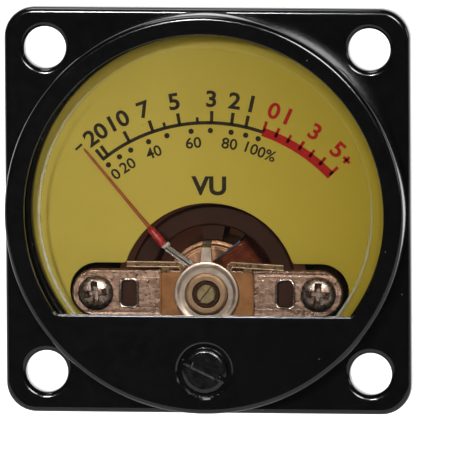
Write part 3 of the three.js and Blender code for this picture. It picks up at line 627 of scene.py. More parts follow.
def orange_enamel():
    nodes = Nodes("orange_enamel")
    base = nodes.ramp(nodes.noise(0.5, 4), [(0.35, (0.3, 0.045, 0.018)), (0.65, (0.46, 0.1, 0.035))])
    return nodes.surface(base, 0.35, bump=nodes.noise(0.2, 3), bump_depth=0.01)


def pale_bead():
    nodes = Nodes("pale_bead")
    base = nodes.ramp(nodes.noise(0.2, 3), [(0.35, (0.45, 0.36, 0.3)), (0.65, (0.8, 0.75, 0.7))])
    return nodes.surface(base, 0.25, Coat_Weight=0.5)


def pale_resin():
    nodes = Nodes("pale_resin")
    base = nodes.ramp(nodes.noise(1.5, 4), [(0.3, (0.6, 0.56, 0.46)), (0.7, (0.72, 0.68, 0.58))])
    return nodes.surface(base, 0.5, bump=nodes.noise(0.2, 3), bump_depth=0.01)


def ruby():
    nodes = Nodes("ruby")
    base = nodes.ramp(nodes.noise(0.4, 2), [(0.3, (0.3, 0.01, 0.05)), (0.7, (0.5, 0.03, 0.1))])
    return nodes.surface(base, 0.05, Coat_Weight=0.6)


WIRE = enamelled_wire()
RED = red_paint()
ORANGE = orange_enamel()
BEAD = pale_bead()
RESIN = pale_resin()
RUBY = ruby()


# ---- Case ---------------------------------------------------------------------------------------

def flange_and_cup():
    """The square flange with its four holes, the cup behind it and the bosses for its two screws."""
    side = HOUSING_HIGH.x - HOUSING_LOW.x
    half = HOLE_SPACING / 2
    middle = [(sx * half, sz * half) for sx in (-1, 1) for sz in (-1, 1)]
    holes = [circle(HOLE_RADIUS, 48, centre) for centre in middle]
    flange = plate(rounded_box(side, side, FLANGE_CORNER, 12), [*holes, circle(CUP_BORE, 128)],
                   HOUSING_LOW.y, 0, FLANGE_EDGE, 5)
    back = HOUSING_HIGH.y
    groove, floor = CUP_REAR - 1.6, back - 1.2
    cup = lathe(soft_profile([
        (0, back), (groove - 0.8, back), (groove - 0.8, back - 0.25), (groove, back - 0.25), (groove, back),
        (CUP_REAR, back), (CUP_RADIUS, 0.5), (CUP_RADIUS, -0.45), (CUP_BORE + 0.01, -0.45),
        (CUP_REAR_BORE, floor), (0, floor),
    ], 0.22), 160)
    fillet = lathe([
        (CUP_RADIUS - 0.1, -0.1), (CUP_RADIUS + 0.5, -0.1), (CUP_RADIUS + 0.15, 0.15),
        (CUP_RADIUS, 0.5), (CUP_RADIUS - 0.1, 0.5),
    ], 160, closed=True)
    boss = plate(circle(1.6, 32), (), 9.02, back - 1.1, 0.1)
    bosses = [moved(boss, x, 0, PIVOT.z) for x in (-SCREW_X, SCREW_X)]
    return merged(flange, cup, fillet, *bosses, *polarity_marks(back))


def polarity_marks(back):
    """A raised plus and minus beside the two tags, and a ring round each tag and pin."""
    marks = []
    for node, sign in (("terminal_negative", -1), ("terminal_positive", 1)):
        low, high = corners(node)
        x, z = (low.x + high.x) / 2, (low.z + high.z) / 2
        pad = rounded_box(high.x - low.x + 1.2, 2.2, 0.8, 5, (x, z))
        marks.append(plate(pad, (), back - 0.1, back + 0.25, 0.1))
        mark_z = z + 2.6
        marks.append(plate(rounded_box(1.6, 0.4, 0.1, 3, (x, mark_z)), (), back - 0.1, back + 0.2, 0.06))
        if sign > 0:
            marks.append(plate(rounded_box(0.4, 1.6, 0.1, 3, (x, mark_z)), (), back - 0.1, back + 0.19, 0.06))
    for node in ("lamp_pin_left", "lamp_pin_right"):
        low, high = corners(node)
        centre = ((low.x + high.x) / 2, (low.z + high.z) / 2)
        marks.append(plate(circle(0.85, 32, centre), (), back - 0.1, back + 0.3, 0.1))
    return marks


def bezel():
    """The ring and the lower mask, with the window, the zero screw's counterbore and its neck hole."""
    front, back = CAP_LOW.y, CAP_HIGH.y
    outer = CAP_HIGH.x
    rounded = [(outer - CAP_EDGE + CAP_EDGE * math.sin(a), front + CAP_EDGE - CAP_EDGE * math.cos(a))
               for a in [math.pi / 2 * k / 6 for k in range(7)]]
    skirt = outer - 0.6
    profile = [(0, front), *rounded, (outer, HOUSING_LOW.y), (skirt, HOUSING_LOW.y), (skirt, back), (0, back)]
    cap = make_object("bezel_ring", lathe(profile, 192))
    opening = above_chord(WINDOW_RADIUS, WINDOW_CHORD)
    bevel = 0.1
    window = window_cutter(opening, front, bevel)
    pocket = plate(above_chord(outer - 1.25, WINDOW_CHORD - 0.55), (), front + LIP, back + 1, 0.01, 1)
    room = plate(circle(outer - 1.25, 128), (), front + 1.2, back + 1, 0.01, 1)
    sink = moved(lathe([(0, front - 1), (2.5, front - 1), (2.5, front), (2.35, front + 0.12),
                        (2.35, front + 0.6), (0, front + 0.6)], 64), 0, 0, ZERO_AXIS.z)
    neck = moved(plate(circle(1.25, 32), (), front, front + 2, 0.01, 1), 0, 0, ZERO_AXIS.z)
    cut(cap, [window, pocket, room, sink, neck])
    return cap


def window_cutter(opening, front, bevel):
    """The window's prism, which opens out in a rounded bevel at the front face."""
    levels = [(-bevel - 0.3, front - 0.3)]
    levels += [(-bevel * (1 - math.sin(a)), front + bevel * (1 - math.cos(a)))
               for a in [math.pi / 2 * k / 5 for k in range(6)]]
    levels.append((0, front + 3))
    return loft([(inset(opening, depth), y) for depth, y in levels])


def loft(levels):
    """A closed solid through outlines of equal length, each at its own y."""
    count = len(levels[0][0])
    vertices = [(x, y, z) for outline, y in levels for x, z in outline]
    faces = []
    for level in range(len(levels) - 1):
        a, b = level * count, (level + 1) * count
        faces += [(a + i, b + i, b + (i + 1) % count, a + (i + 1) % count) for i in range(count)]
    faces.append(tuple(range(count)))
    faces.append(tuple((len(levels) - 1) * count + i for i in reversed(range(count))))
    return vertices, faces


def window_pane():
    """The clear window's plate."""
    outline = above_chord(LENS_HIGH.x, LENS_LOW.z)
    return plate(outline, (), LENS_LOW.y, LENS_LOW.y + 0.7, 0.06)


def window_rim():
    """The pale rim on the window's rear face."""
    chord = LENS_LOW.z + 0.2
    path = []
    radius = 14.35
    start = math.degrees(math.asin(chord / radius))
    for x, z in arc(radius, start, 180 - start, 120):
        path.append((x, LENS_LOW.y + 0.95, z))
    section = [(u * 0.15, v * 0.25) for u, v in circle(1, 8)]
    return sweep(path, section)


def slotted_head(name, profile, slot_width, slot_depth, tilt, centre, front_sign=-1, segments=48):
    """A turned head with a screwdriver slot across it, tilted from the horizontal, in place."""
    head = make_object(name, moved(lathe(profile, segments), centre[0], 0, centre[1]))
    face = min(y for _, y in profile) if front_sign < 0 else max(y for _, y in profile)
    low, high = sorted((face + front_sign * 0.5, face - front_sign * slot_depth))
    outline = turned_outline(rounded_box(6, slot_width, 0.01, 2), -math.radians(tilt), centre)
    cut(head, [plate(outline, (), low, high, 0.01, 1)])
    return head


def zero_screw():
    front = corners("zero_screw")[0].y
    profile = [(0, front), (1.6, front), (1.8, front + 0.04), (1.92, front + 0.12), (1.95, front + 0.24),
               (1.95, front + 0.5), (1.15, front + 0.5), (1.15, front + 1.55), (0, front + 1.55)]
    head = slotted_head("zero_screw_head", profile, 0.62, 0.5, -26, (0, ZERO_AXIS.z))
    pin = moved(plate(circle(0.3, 16), (), front + 1.5, corners("zero_screw")[1].y, 0.04), 0, 0, ZERO_AXIS.z + 0.75)
    tail = make_object("pin", pin)
    return joined(head, tail)


def joined(first, *others):
    """Adds other objects' meshes to the first."""
    work = bmesh.new()
    work.from_mesh(first.data)
    for other in others:
        work.from_mesh(other.data)
        bpy.data.objects.remove(other)
    work.to_mesh(first.data)
    work.free()
    return first


def screw_burrs():
    """Small flakes of flash at the bottom of the zero screw's hole."""
    flakes = []
    for angle, size in ((238, 0.2), (252, 0.13), (286, 0.22), (300, 0.16), (312, 0.1)):
        a = math.radians(angle)
        centre = (2.33 * math.cos(a), CAP_LOW.y + 0.02, ZERO_AXIS.z + 2.33 * math.sin(a))
        flakes.append(ball(size, centre, (1.0, 0.25, 0.45), 5, 7))
    return merged(*flakes)


# ---- Dial ---------------------------------------------------------------------------------------

def dial_cutout():
    """The half-round coil opening above the obround one for the bridge, as one outline."""
    half_height = (BRIDGE_HIGH.z - BRIDGE_LOW.z) / 2 + DIAL_MARGIN
    half_length = BRIDGE_HIGH.x + DIAL_MARGIN
    end = half_length - half_height
    lift = math.degrees(math.asin(half_height / DIAL_OPENING))
    outline = arc(half_height, -90, 90, 24, (end, 0))
    outline += arc(DIAL_OPENING, lift, 180 - lift, 64)
    outline += arc(half_height, 90, 270, 24, (-end, 0))
    corner = {25, 25 + 64}
    return [(x, z + PIVOT.z) for x, z in ease_corners(outline, corner, 0.25)]


def dial_sheet():
    return plate(circle(DIAL_HIGH.x, 160), [dial_cutout()], DIAL_LOW.y, DIAL_HIGH.y, 0.04)


BLACK_TICKS = {"major": [-38.7, -36.7, -28.0, -19.2, -9.8, 1.1, 7.9, 12.8], "minor": [-14.9, -3.7]}
RED_TICKS = [18.9, 23.4, 27.8, 32.4, 36.7, 41.0, 45.7]
PERCENT_DOTS = [-38.6, -33.7, -29.0, -21.9, -15.0, -6.2, 0.7, 8.1, 13.4, 18.0]
LEVELS = [("20", -35.9), ("10", -27.7), ("7", -19.6), ("5", -10.3), ("3", 0.9), ("2", 7.9), ("1", 13.0)]
RED_LEVELS = [("0", 20.0), ("1", 24.4), ("3", 33.6), ("5", 42.2)]
PERCENTS = [("0", -38.6), ("20", -32.9), ("40", -21.6), ("60", -5.8), ("80", 8.1), ("100%", 20.4)]
SCALE_RADIUS = 14.55
PRINT_Y = (DIAL_LOW.y - 0.012, DIAL_LOW.y + 0.02)


def polar(angle, radius):
    """A point on the dial, its angle clockwise from straight up about the pivot."""
    a = math.radians(angle)
    return radius * math.sin(a), PIVOT.z + radius * math.cos(a)


def arc_band(inner, outer, start, end, steps=60):
    """A printed band between two radii and two dial angles."""
    angles = [start + (end - start) * i / steps for i in range(steps + 1)]
    outline = [polar(a, outer) for a in angles] + [polar(a, inner) for a in reversed(angles)]
    return plate(outline, (), *PRINT_Y, 0.004, 1)


def tick(angle, inner, length, width=0.28):
    """A printed tick across the scale."""
    half = math.degrees(width / 2 / inner)
    return arc_band(inner, inner + length, angle - half, angle + half, 1)


def dot(angle, radius, size=0.235):
    return plate(circle(size, 20, polar(angle, radius)), (), *PRINT_Y, 0.004, 1)


def lettering(text, height, centre, tilt=0, width_per_letter=0.74, weight=0.026):
    """Printed figures of a given height, centred on a dial point and tilted clockwise."""
    curve = bpy.data.curves.new("figures", "FONT")
    curve.body = text
    curve.size = 1
    curve.offset = weight
    curve.extrude = 0.01
    curve.resolution_u = 4
    source = bpy.data.objects.new("figures", curve)
    bpy.context.scene.collection.objects.link(source)
    graph = bpy.context.evaluated_depsgraph_get()
    mesh = bpy.data.meshes.new_from_object(source.evaluated_get(graph))
    bpy.data.objects.remove(source)
    xs = [v.co.x for v in mesh.vertices]
    ys = [v.co.y for v in mesh.vertices]
    middle = ((min(xs) + max(xs)) / 2, (min(ys) + max(ys)) / 2)
    tall = height / (max(ys) - min(ys))
    wide = tall
    if width_per_letter:
        wide = min(tall * 1.1, height * width_per_letter * len(text) / (max(xs) - min(xs)))
    flat = [((v.co.x - middle[0]) * wide, (v.co.y - middle[1]) * tall) for v in mesh.vertices]
    turned = turned_outline(flat, math.radians(tilt), centre)
    depth = [PRINT_Y[0] if v.co.z > 0 else PRINT_Y[1] for v in mesh.vertices]
    vertices = [(x, y, z) for (x, z), y in zip(turned, depth)]
    faces = [tuple(p.vertices) for p in mesh.polygons]
    bpy.data.meshes.remove(mesh)
    return vertices, faces


def black_print():
    shapes = [arc_band(14.4, 14.7, -39.1, 18.7)]
    shapes += [tick(a, SCALE_RADIUS, 1.02) for a in BLACK_TICKS["major"]]
    shapes += [tick(a, SCALE_RADIUS, 0.5, 0.24) for a in BLACK_TICKS["minor"]]
    shapes += [dot(a, 13.88) for a in PERCENT_DOTS]
    shapes += [lettering(text, 1.45, polar(a, 16.62), a) for text, a in LEVELS]
    shapes += [lettering(text, 0.97, polar(a, 12.88), a, 0.7, 0.018) for text, a in PERCENTS]
    shapes.append(lettering("VU", 1.65, (0, PIVOT.z + 9.1), 0, 0.92, 0.034))
    minus = turned_outline(rounded_box(0.75, 0.2, 0.02, 1), math.radians(-42.2), polar(-42.2, 16.7))
    shapes.append(plate(minus, (), *PRINT_Y, 0.004, 1))
    return merged(*shapes)


def red_print():
    shapes = [arc_band(14.2, 14.95, 18.7, 46.4)]
    shapes += [tick(a, SCALE_RADIUS, 0.98, 0.26) for a in (18.9, 45.9)]
    shapes += [tick(a, SCALE_RADIUS, 0.85, 0.26) for a in RED_TICKS[1:-1:2]]
    shapes += [tick(a, SCALE_RADIUS, 0.75, 0.24) for a in RED_TICKS[2:-1:2]]
    shapes += [lettering(text, 1.45, polar(a, 16.62), a) for text, a in RED_LEVELS]
    for width, height in ((0.75, 0.26), (0.26, 0.75)):
        cross = turned_outline(rounded_box(width, height, 0.02, 1), math.radians(46.2), polar(46.2, 16.5))
        shapes.append(plate(cross, (), *PRINT_Y, 0.004, 1))
    return merged(*shapes)


# ---- Bridge, stop spring and hub ----------------------------------------------------------------

def bridge_bar():
    """The nickel bar, with its punched windows; the raised metal round them is a piece of its own."""
    low, high = BRIDGE_LOW, BRIDGE_HIGH
    front = high.y - 0.5
    height = high.z - low.z
    outline = rounded_box(high.x - low.x, height, height / 2 - 0.01, 16, (0, PIVOT.z))
    openings = [rounded_box(1.25, 2.15, 0.3, 5, (x, PIVOT.z)) for x in (-PUNCH_X, PUNCH_X)]
    holes = [circle(0.85, 24, (x, PIVOT.z)) for x in (-SCREW_X, SCREW_X)]
    return plate(outline, [*openings, *holes, circle(1.35, 32, (0, PIVOT.z))], front, high.y, 0.16, 4)


def punch_rims():
    """The raised metal round each punched window of the bar."""
    front = BRIDGE_HIGH.y - 0.5
    hollow, rim = rounded_box(1.3, 2.2, 0.32, 5), rounded_box(1.75, 2.65, 0.5, 6)
    ring = plate(rim, [hollow], front - 0.2, front + 0.15, 0.11, 4)
    return merged(*[moved(ring, x, 0, PIVOT.z) for x in (-PUNCH_X, PUNCH_X)])


def punch_shade_sheets():
    """Painted shade: dark brown sheets at the rear of the punched windows, where the windows look into shade."""
    back = BRIDGE_HIGH.y - 0.02
    return merged(*[plate(rounded_box(1.4, 2.3, 0.3, 5, (x, PIVOT.z)), (), back - 0.12, back, 0.02, 1)
                    for x in (-PUNCH_X, PUNCH_X)])


def ragged(obj, size, depth, seed):
    """Pushes a mesh's points about by a little smooth noise, as on a stamped and plated piece."""
    for vertex in obj.data.vertices:
        place = vertex.co / MM / size + Vector((seed, seed, seed))
        vertex.co += noise.noise_vector(place) * depth * MM
    return obj


def cross_screw(name, x, turn):
    """A pan-head screw with a cross recess."""
    seat = BRIDGE_HIGH.y - 0.5
    front = corners("bridge_screw_left")[0].y
    radius = 1.52
    dome = [(radius * math.sin(a), front + (seat - front - 0.2) * (1 - math.cos(a)))
            for a in [math.pi / 2 * k / 8 for k in range(9)]]
    profile = [*dome, (radius, seat), (0.7, seat), (0.7, 1.5), (0, 1.5)]
    head = make_object(name, moved(lathe(profile, 48), x, 0, PIVOT.z))
    cutters = []
    for angle in (turn, turn + 90):
        wide = rounded_box(2.15, 0.62, 0.12, 3)
        narrow = rounded_box(1.1, 0.3, 0.06, 3)
        levels = [(turned_outline(outline, math.radians(angle), (x, PIVOT.z)), y)
                  for outline, y in ((wide, front - 0.3), (wide, front + 0.1), (narrow, front + 0.55))]
        cutters.append(loft(levels))
    cut(head, cutters, 30)
    return head


def stop_spring():
    """The copper plate behind the hub."""
    front, back = STOP_LOW.y, BRIDGE_HIGH.y - 0.5
    half = 4.05
    top, bottom = PIVOT.z + 1.8, PIVOT.z - 1.9
    outline = rounded_box(half * 2, top - bottom, 0.3, 5, (0, (top + bottom) / 2))
    body = plate(outline, [circle(1.35, 32, (0, PIVOT.z))], front, back - 0.01, 0.05)
    lips = [bar((x - 0.09, front - 0.07, bottom + 0.2), (x + 0.09, front + 0.1, top - 0.1), 0.04)
            for x in (-half + 0.06, half - 0.06)]
    return merged(body, *lips)


STRIPS = ((-1, 2.4, 6.9, 0.0), (1, 2.2, 6.6, 0.25))


def strip_path(side, inner, outer, drop, lift=0):
    """The (x, z) points of one strip: nearly level, then hooked down at its inner end."""
    z = PIVOT.z + 2.5
    path = [(side * (outer - (outer - inner) * t), z - drop * (1 - t) + lift) for t in (0, 0.33, 0.66, 1)]
    for inward, fall in ((0.18, 0.12), (0.3, 0.35), (0.2, 0.62)):
        path.append((side * (inner - inward - lift * 0.7), z - fall + lift * (1 - fall)))
    return path


def stop_strips():
    """The two thin strips above the bridge, with hooked inner ends and the stop lugs."""
    front = STOP_LOW.y
    shapes = []
    for side, inner, outer, drop in STRIPS:
        path = strip_path(side, inner, outer, drop)
        points = [(x, front + 0.14, z) for x, z in path]
        shapes.append(sweep(points, rounded_box(0.46, 0.14, 0.05, 2), up=(0, 1, 0)))
        neck_x = side * 3.55
        neck = (neck_x - 0.4, front + 0.02, PIVOT.z + 1.5), (neck_x + 0.4, front + 0.19, PIVOT.z + 2.5)
        shapes.append(bar(*neck, 0.05))
    for x0, x1 in ((-2.84, -2.56), (3.5, 3.9)):
        shapes.append(bar((x0, front + 0.1, PIVOT.z + 2.13), (x1, STOP_HIGH.y, PIVOT.z + 2.55), 0.06))
    return merged(*shapes)


def strip_edges():
    """The turned-up edges of the two strips, as thin rods in a light brass that is a painted highlight."""
    shapes = []
    for strip in STRIPS:
        for lift in (-0.2, 0.2):
            points = [(x, STOP_LOW.y + 0.06, z) for x, z in strip_path(*strip, lift)]
            shapes.append(sweep(points, circle(0.06, 8), up=(0, 1, 0)))
    return merged(*shapes)


def lever_disc():
    """The disc round the hub with its rolled rim, the fork below it and the bent tab above it."""
    front, back = LEVER_LOW.y, LEVER_LOW.y + 0.25
    radius = 2.8
    dish = lathe(soft_profile([
        (1.36, back), (1.36, front + 0.06), (2.3, front + 0.06), (2.55, front - 0.02), (radius, front),
        (radius, back), (1.36, back),
    ], 0.06)[:-1], 96, closed=True)
    dish = moved(dish, 0, 0, PIVOT.z)
    fork_end, slot_top = -6.2, -5.0
    fork = eased([(-0.9, -2.2), (-0.9, fork_end), (-0.42, fork_end), (-0.42, slot_top), (0.42, slot_top),
                  (0.42, fork_end), (0.9, fork_end), (0.9, -2.2)], 0.08, 2)
    fork = plate([(x, z + PIVOT.z) for x, z in fork], (), front + 0.03, back, 0.04)
    return merged(dish, fork, lever_tab(front, back))


def lever_tab(front, back):
    """The tab: a tapering strip that rises from the disc, rolls over and points back into the case."""
    reach = LEVER_HIGH.y
    thick = back - front
    rise = [(front + thick / 2, PIVOT.z + h) for h in (2.4, 3.0, 3.6, 4.0)]
    roll = [(front + thick / 2 + 0.32 * math.sin(a), PIVOT.z + 4.05 + 0.32 * (1 - math.cos(a)))
            for a in [math.radians(d) for d in (20, 45, 70, 90)]]
    tail = [(reach - 0.5, PIVOT.z + 4.38), (reach, PIVOT.z + 4.38)]
    path = [(0, y, z) for y, z in rise + roll + tail]
    widths = [1.12, 1.02, 0.92, 0.84, 0.82, 0.8, 0.78, 0.76, 0.74, 0.7]
    half = thick / 2
    vertices, faces = [], []
    for i, (x, y, z) in enumerate(path):
        before = Vector(path[max(i - 1, 0)])
        after = Vector(path[min(i + 1, len(path) - 1)])
        normal = (after - before).normalized().cross(Vector((1, 0, 0)))
        wide = widths[i] / 2
        for u, v in ((-wide, -half * 0.5), (-wide + 0.05, -half), (wide - 0.05, -half), (wide, -half * 0.5),
                     (wide, half * 0.5), (wide - 0.05, half), (-wide + 0.05, half), (-wide, half * 0.5)):
            vertices.append(tuple(Vector((x + u, y, z)) + normal * v))
    for i in range(len(path) - 1):
        a, b = i * 8, (i + 1) * 8
        faces += [(a + k, a + (k + 1) % 8, b + (k + 1) % 8, b + k) for k in range(8)]
    faces.append(tuple(range(8)))
    faces.append(tuple((len(path) - 1) * 8 + k for k in reversed(range(8))))
    return vertices, faces


def hub_ring():
    """The gold bush round the bearing screw."""
    front, back = BUSH_LOW.y, BUSH_HIGH.y
    profile = soft_profile([
        (0.97, front + 0.3), (1.12, front + 0.12), (1.2, front), (1.6, front), (1.86, front + 0.07),
        (1.86, front + 0.15), (1.3, front + 0.2), (1.3, back), (0.97, back), (0.97, front + 0.3),
    ], 0.05)[:-1]
    return moved(lathe(profile, 72, closed=True), 0, 0, PIVOT.z)


def bearing_shade():
    """The dark gap between the bearing screw and its bush."""
    front = BUSH_LOW.y + 0.01
    ring = [(0.86, front), (1.1, front), (1.1, front + 0.05), (0.86, front + 0.05)]
    return moved(lathe(ring, 64, closed=True), 0, 0, PIVOT.z)


def bearing_screw():
    front = corners("jewel_screw_front")[0].y
    profile = [(0, front), (0.72, front), (0.84, front + 0.05), (0.9, front + 0.16), (0.9, front + 1.2),
               (0, front + 1.2)]
    return slotted_head("bearing_screw", profile, 0.24, 0.4, 53, (0, PIVOT.z))


# ---- Moving element -----------------------------------------------------------------------------

def in_pointer_plane(points, y=NEEDLE_Y):
    """(x, z) points drawn with the pointer straight up, turned to where it rests."""
    return [(x, y, z) for x, z in turned_outline(points, REST, (PIVOT.x, PIVOT.z))]


def needle_part(stages):
    """A round length of the needle from (share of its length, radius) stages."""
    reach = (Vector((NEEDLE_TIP.x, NEEDLE_TIP.z)) - Vector((PIVOT.x, PIVOT.z))).length
    root = Vector((-0.26, 5.45))
    tip = Vector((0, reach - 0.05))
    path = in_pointer_plane([tuple(root.lerp(tip, t)) for t, _ in stages])
    return sweep(path, circle(1, 14), scale=[r for _, r in stages])


def needle():
    return needle_part([(0.1, 0.13), (0.19, 0.145), (0.5, 0.125), (0.98, 0.095), (1.0, 0.05)])


def needle_sleeve():
    """The thick painted root of the needle."""
    return needle_part([(0.0, 0.2), (0.01, 0.34), (0.04, 0.39), (0.09, 0.38), (0.14, 0.36), (0.17, 0.32),
                        (0.185, 0.22), (0.2, 0.13)])


def needle_bead():
    """The pale bead of cement where the needle leaves its arm."""
    (centre,) = in_pointer_plane([(-0.24, 5.5)])
    return merged(ball(0.36, centre, (1.05, 0.9, 0.85)), ball(0.2, (centre[0] + 0.3, centre[1], centre[2] + 0.1)))


def pointer_arm():
    """The arm, its tail and the cross arms, from thin sheet that is folded along the arm."""
    arm_plate = eased([(0.0, 0), (0.14, 2.4), (-0.48, 5.0), (-0.44, 5.5), (-0.05, 5.5), (0.2, 4.6),
                       (0.76, 2.6), (0.8, 0)], 0.12, 2)
    tail = [(-0.3, 0), (-0.22, -4.4), (0.22, -4.4), (0.3, 0)]
    cross = [(-3.05, -0.2), (3.05, -0.2), (3.05, 0.2), (-3.05, 0.2)]
    shapes = []
    for outline in (arm_plate, circle(0.95, 32), tail, cross):
        turned = turned_outline(outline, REST, (PIVOT.x, PIVOT.z))
        shapes.append(plate(turned, (), NEEDLE_Y - 0.1, NEEDLE_Y + 0.1, 0.04))
    ridge = in_pointer_plane([(0.42, 1.0), (0.46, 2.5), (0.1, 4.2), (-0.22, 5.4)], NEEDLE_Y - 0.12)
    shapes.append(sweep(ridge, circle(0.13, 8), scale=[0.6, 1.2, 1.0, 1.3]))
    return merged(*shapes)


def coil_matrix():
    """Turns a shape drawn with the coil level to where it rests, about the pivot."""
    place = Matrix.Translation((PIVOT.x, 0, PIVOT.z))
    return place @ Matrix.Rotation(-math.radians(COIL_TILT), 4, "Y")


def winding():
    """The coil's outer turns, side by side, over a plain inner pack."""
    front, back = COIL_LOW.y, COIL_HIGH.y
    half_length, half_width = 4.9, 1.62
    wire = 0.09
    turns = 18
    pitch = half_width * 2 / turns
    loops = []
    middle = (front + back) / 2
    outline = rounded_box((half_length - wire) * 2, back - front - wire * 2, 0.55, 4)
    for k in range(turns):
        z = -half_width + pitch * (k + 0.5)
        path = [(x, middle + y, z) for x, y in outline]
        loops.append(sweep(path, circle(wire, 6), up=(0, 0, 1), closed=True))
    inner = rounded_box((half_length - 0.12) * 2, back - front - 0.24, 0.5, 4)
    hollow = rounded_box((half_length - 0.43) * 2, back - front - 0.86, 0.3, 4)
    pack = plate(inner, [hollow], -half_width + 0.04, half_width - 0.04, 0.02, 1)
    pack = [(x, middle + z, y) for x, y, z in pack[0]], pack[1]
    return placed(merged(pack, *loops), coil_matrix())


def coil_former():
    """The thin former inside the winding, with edges that stand out past it."""
    front, back = COIL_LOW.y, COIL_HIGH.y
    middle = (front + back) / 2
    outer = rounded_box((4.9 - 0.02) * 2, back - front - 0.04, 0.55, 4)
    inner = rounded_box((4.9 - 0.58) * 2, back - front - 1.16, 0.15, 3)
    flanges = []
    for z0, z1 in ((-1.78, -1.66), (1.66, 1.78)):
        ring = plate(outer, [inner], z0, z1, 0.02, 1)
        flanges.append(([(x, middle + z, y) for x, y, z in ring[0]], ring[1]))
    web_out = rounded_box((4.9 - 0.49) * 2, back - front - 0.98, 0.15, 3)
    web = plate(web_out, [inner], -1.7, 1.7, 0.02, 1)
    flanges.append(([(x, middle + z, y) for x, y, z in web[0]], web[1]))
    return placed(merged(*flanges), coil_matrix())


def core_body():
    """The core, with a turned step and a centre mark on the face that shows."""
    front, back = CORE_LOW.y, CORE_HIGH.y
    radius = CORE_HIGH.x
    profile = soft_profile([
        (0, front + 0.15), (0.5, front + 0.15), (0.6, front + 0.02), (radius - 0.7, front), (radius - 0.5, front + 0.1),
        (radius - 0.3, front + 0.02), (radius, front + 0.12), (radius, back), (0, back),
    ], 0.06)
    return moved(lathe(profile, 96), 0, 0, PIVOT.z)


def yoke_body():
    """The ring round the core, with eased edges."""
    low, high = corners("yoke_ring")
    inner, outer = 5.45, high.x
    profile = [(inner + 0.15, low.y), (outer - 0.2, low.y), (outer, low.y + 0.2), (outer, high.y),
               (inner, high.y), (inner, low.y + 0.15)]
    return moved(lathe(profile, 96, closed=True), 0, 0, PIVOT.z)


def gap_painted_glow_ring():
    """The ring that closes the coil gap behind the moving coil, a brown sheet that carries painted light in the dark
    depth.
    """
    return painted_glow_ring(0.75, corners("yoke_ring")[1].x - 0.2, CORE_HIGH.y + 1.35)


def opening_painted_glow_ring():
    """The ring that closes the dial's opening outside the yoke, a brown sheet that carries painted light where the case
    is only in shade.
    """
    low, high = corners("yoke_ring")
    return painted_glow_ring(high.x - 0.1, DIAL_OPENING + 0.6, low.y + 0.25)


def painted_glow_ring(inner, outer, front):
    ring = [(inner, front), (outer, front), (outer, front + 0.15), (inner, front + 0.15)]
    return moved(lathe(ring, 64, closed=True), 0, 0, PIVOT.z)


# ---- Rear of the case ---------------------------------------------------------------------------

def solder_tag(node):
    """A tinned solder tag with an eyelet and a chamfered end."""
    low, high = corners(node)
    x, z = (low.x + high.x) / 2, (low.z + high.z) / 2
    half = 1.1
    end = high.y
    outline = [(-half, low.y), (half, low.y), (half, end - 0.9), (half - 0.7, end), (-half + 0.7, end), (-half, end - 0.9)]
    eye = circle(0.55, 24, (0, end - 1.5))
    tag = plate(eased(outline, 0.12, 3), [eye], -0.25, 0.25, 0.05)
    return [(x + a, c, z + b) for a, b, c in tag[0]], tag[1]


def rear_screw(name, node, x):
    back = corners(node)[1].y
    seat = HOUSING_HIGH.y
    profile = [(0, back), (1.15, back), (1.38, back - 0.06), (1.5, back - 0.22), (1.5, seat), (0.75, seat),
               (0.75, corners(node)[0].y), (0, corners(node)[0].y)]
    return slotted_head(name, profile, 0.4, 0.45, 20, (x, PIVOT.z), front_sign=1)


def lamp_pin(node):
    low, high = corners(node)
    centre = ((low.x + high.x) / 2, (low.z + high.z) / 2)
    radius = (high.x - low.x) / 2
    profile = [(0, low.y), (radius, low.y), (radius, high.y - 0.3), (radius * 0.55, high.y), (0, high.y)]
    return moved(lathe(profile, 24), centre[0], 0, centre[1])


# ---- Everything together ------------------------------------------------------------------------

def build_case():
    piece("case_moulding", flange_and_cup(), BLACK, stands_for=["housing"])
    show(bezel(), BLACK, stands_for=["bezel_cap"])
    piece("window_pane", window_pane(), CLEAR, stands_for=["window_lens"])
    piece("window_rim_line", window_rim(), RIM_PAINTED_LIGHT)
    piece("dial_sheet", dial_sheet(), YELLOW, stands_for=["dial_plate"])
    piece("scale_print_black", black_print(), INK)
    piece("scale_print_red", red_print(), RED_INK)
    for side, x in (("left", -SCREW_X), ("right", SCREW_X)):
        node = f"case_screw_{side}"
        show(rear_screw(f"rear_screw_{side}", node, x), STEEL, stands_for=[node])
        node = f"lamp_pin_{side}"
        piece(f"lamp_wire_{side}", lamp_pin(node), TIN, stands_for=[node])
    for sign in ("negative", "positive"):
        node = f"terminal_{sign}"
        piece(f"solder_tag_{sign}", solder_tag(node), TIN, stands_for=[node])


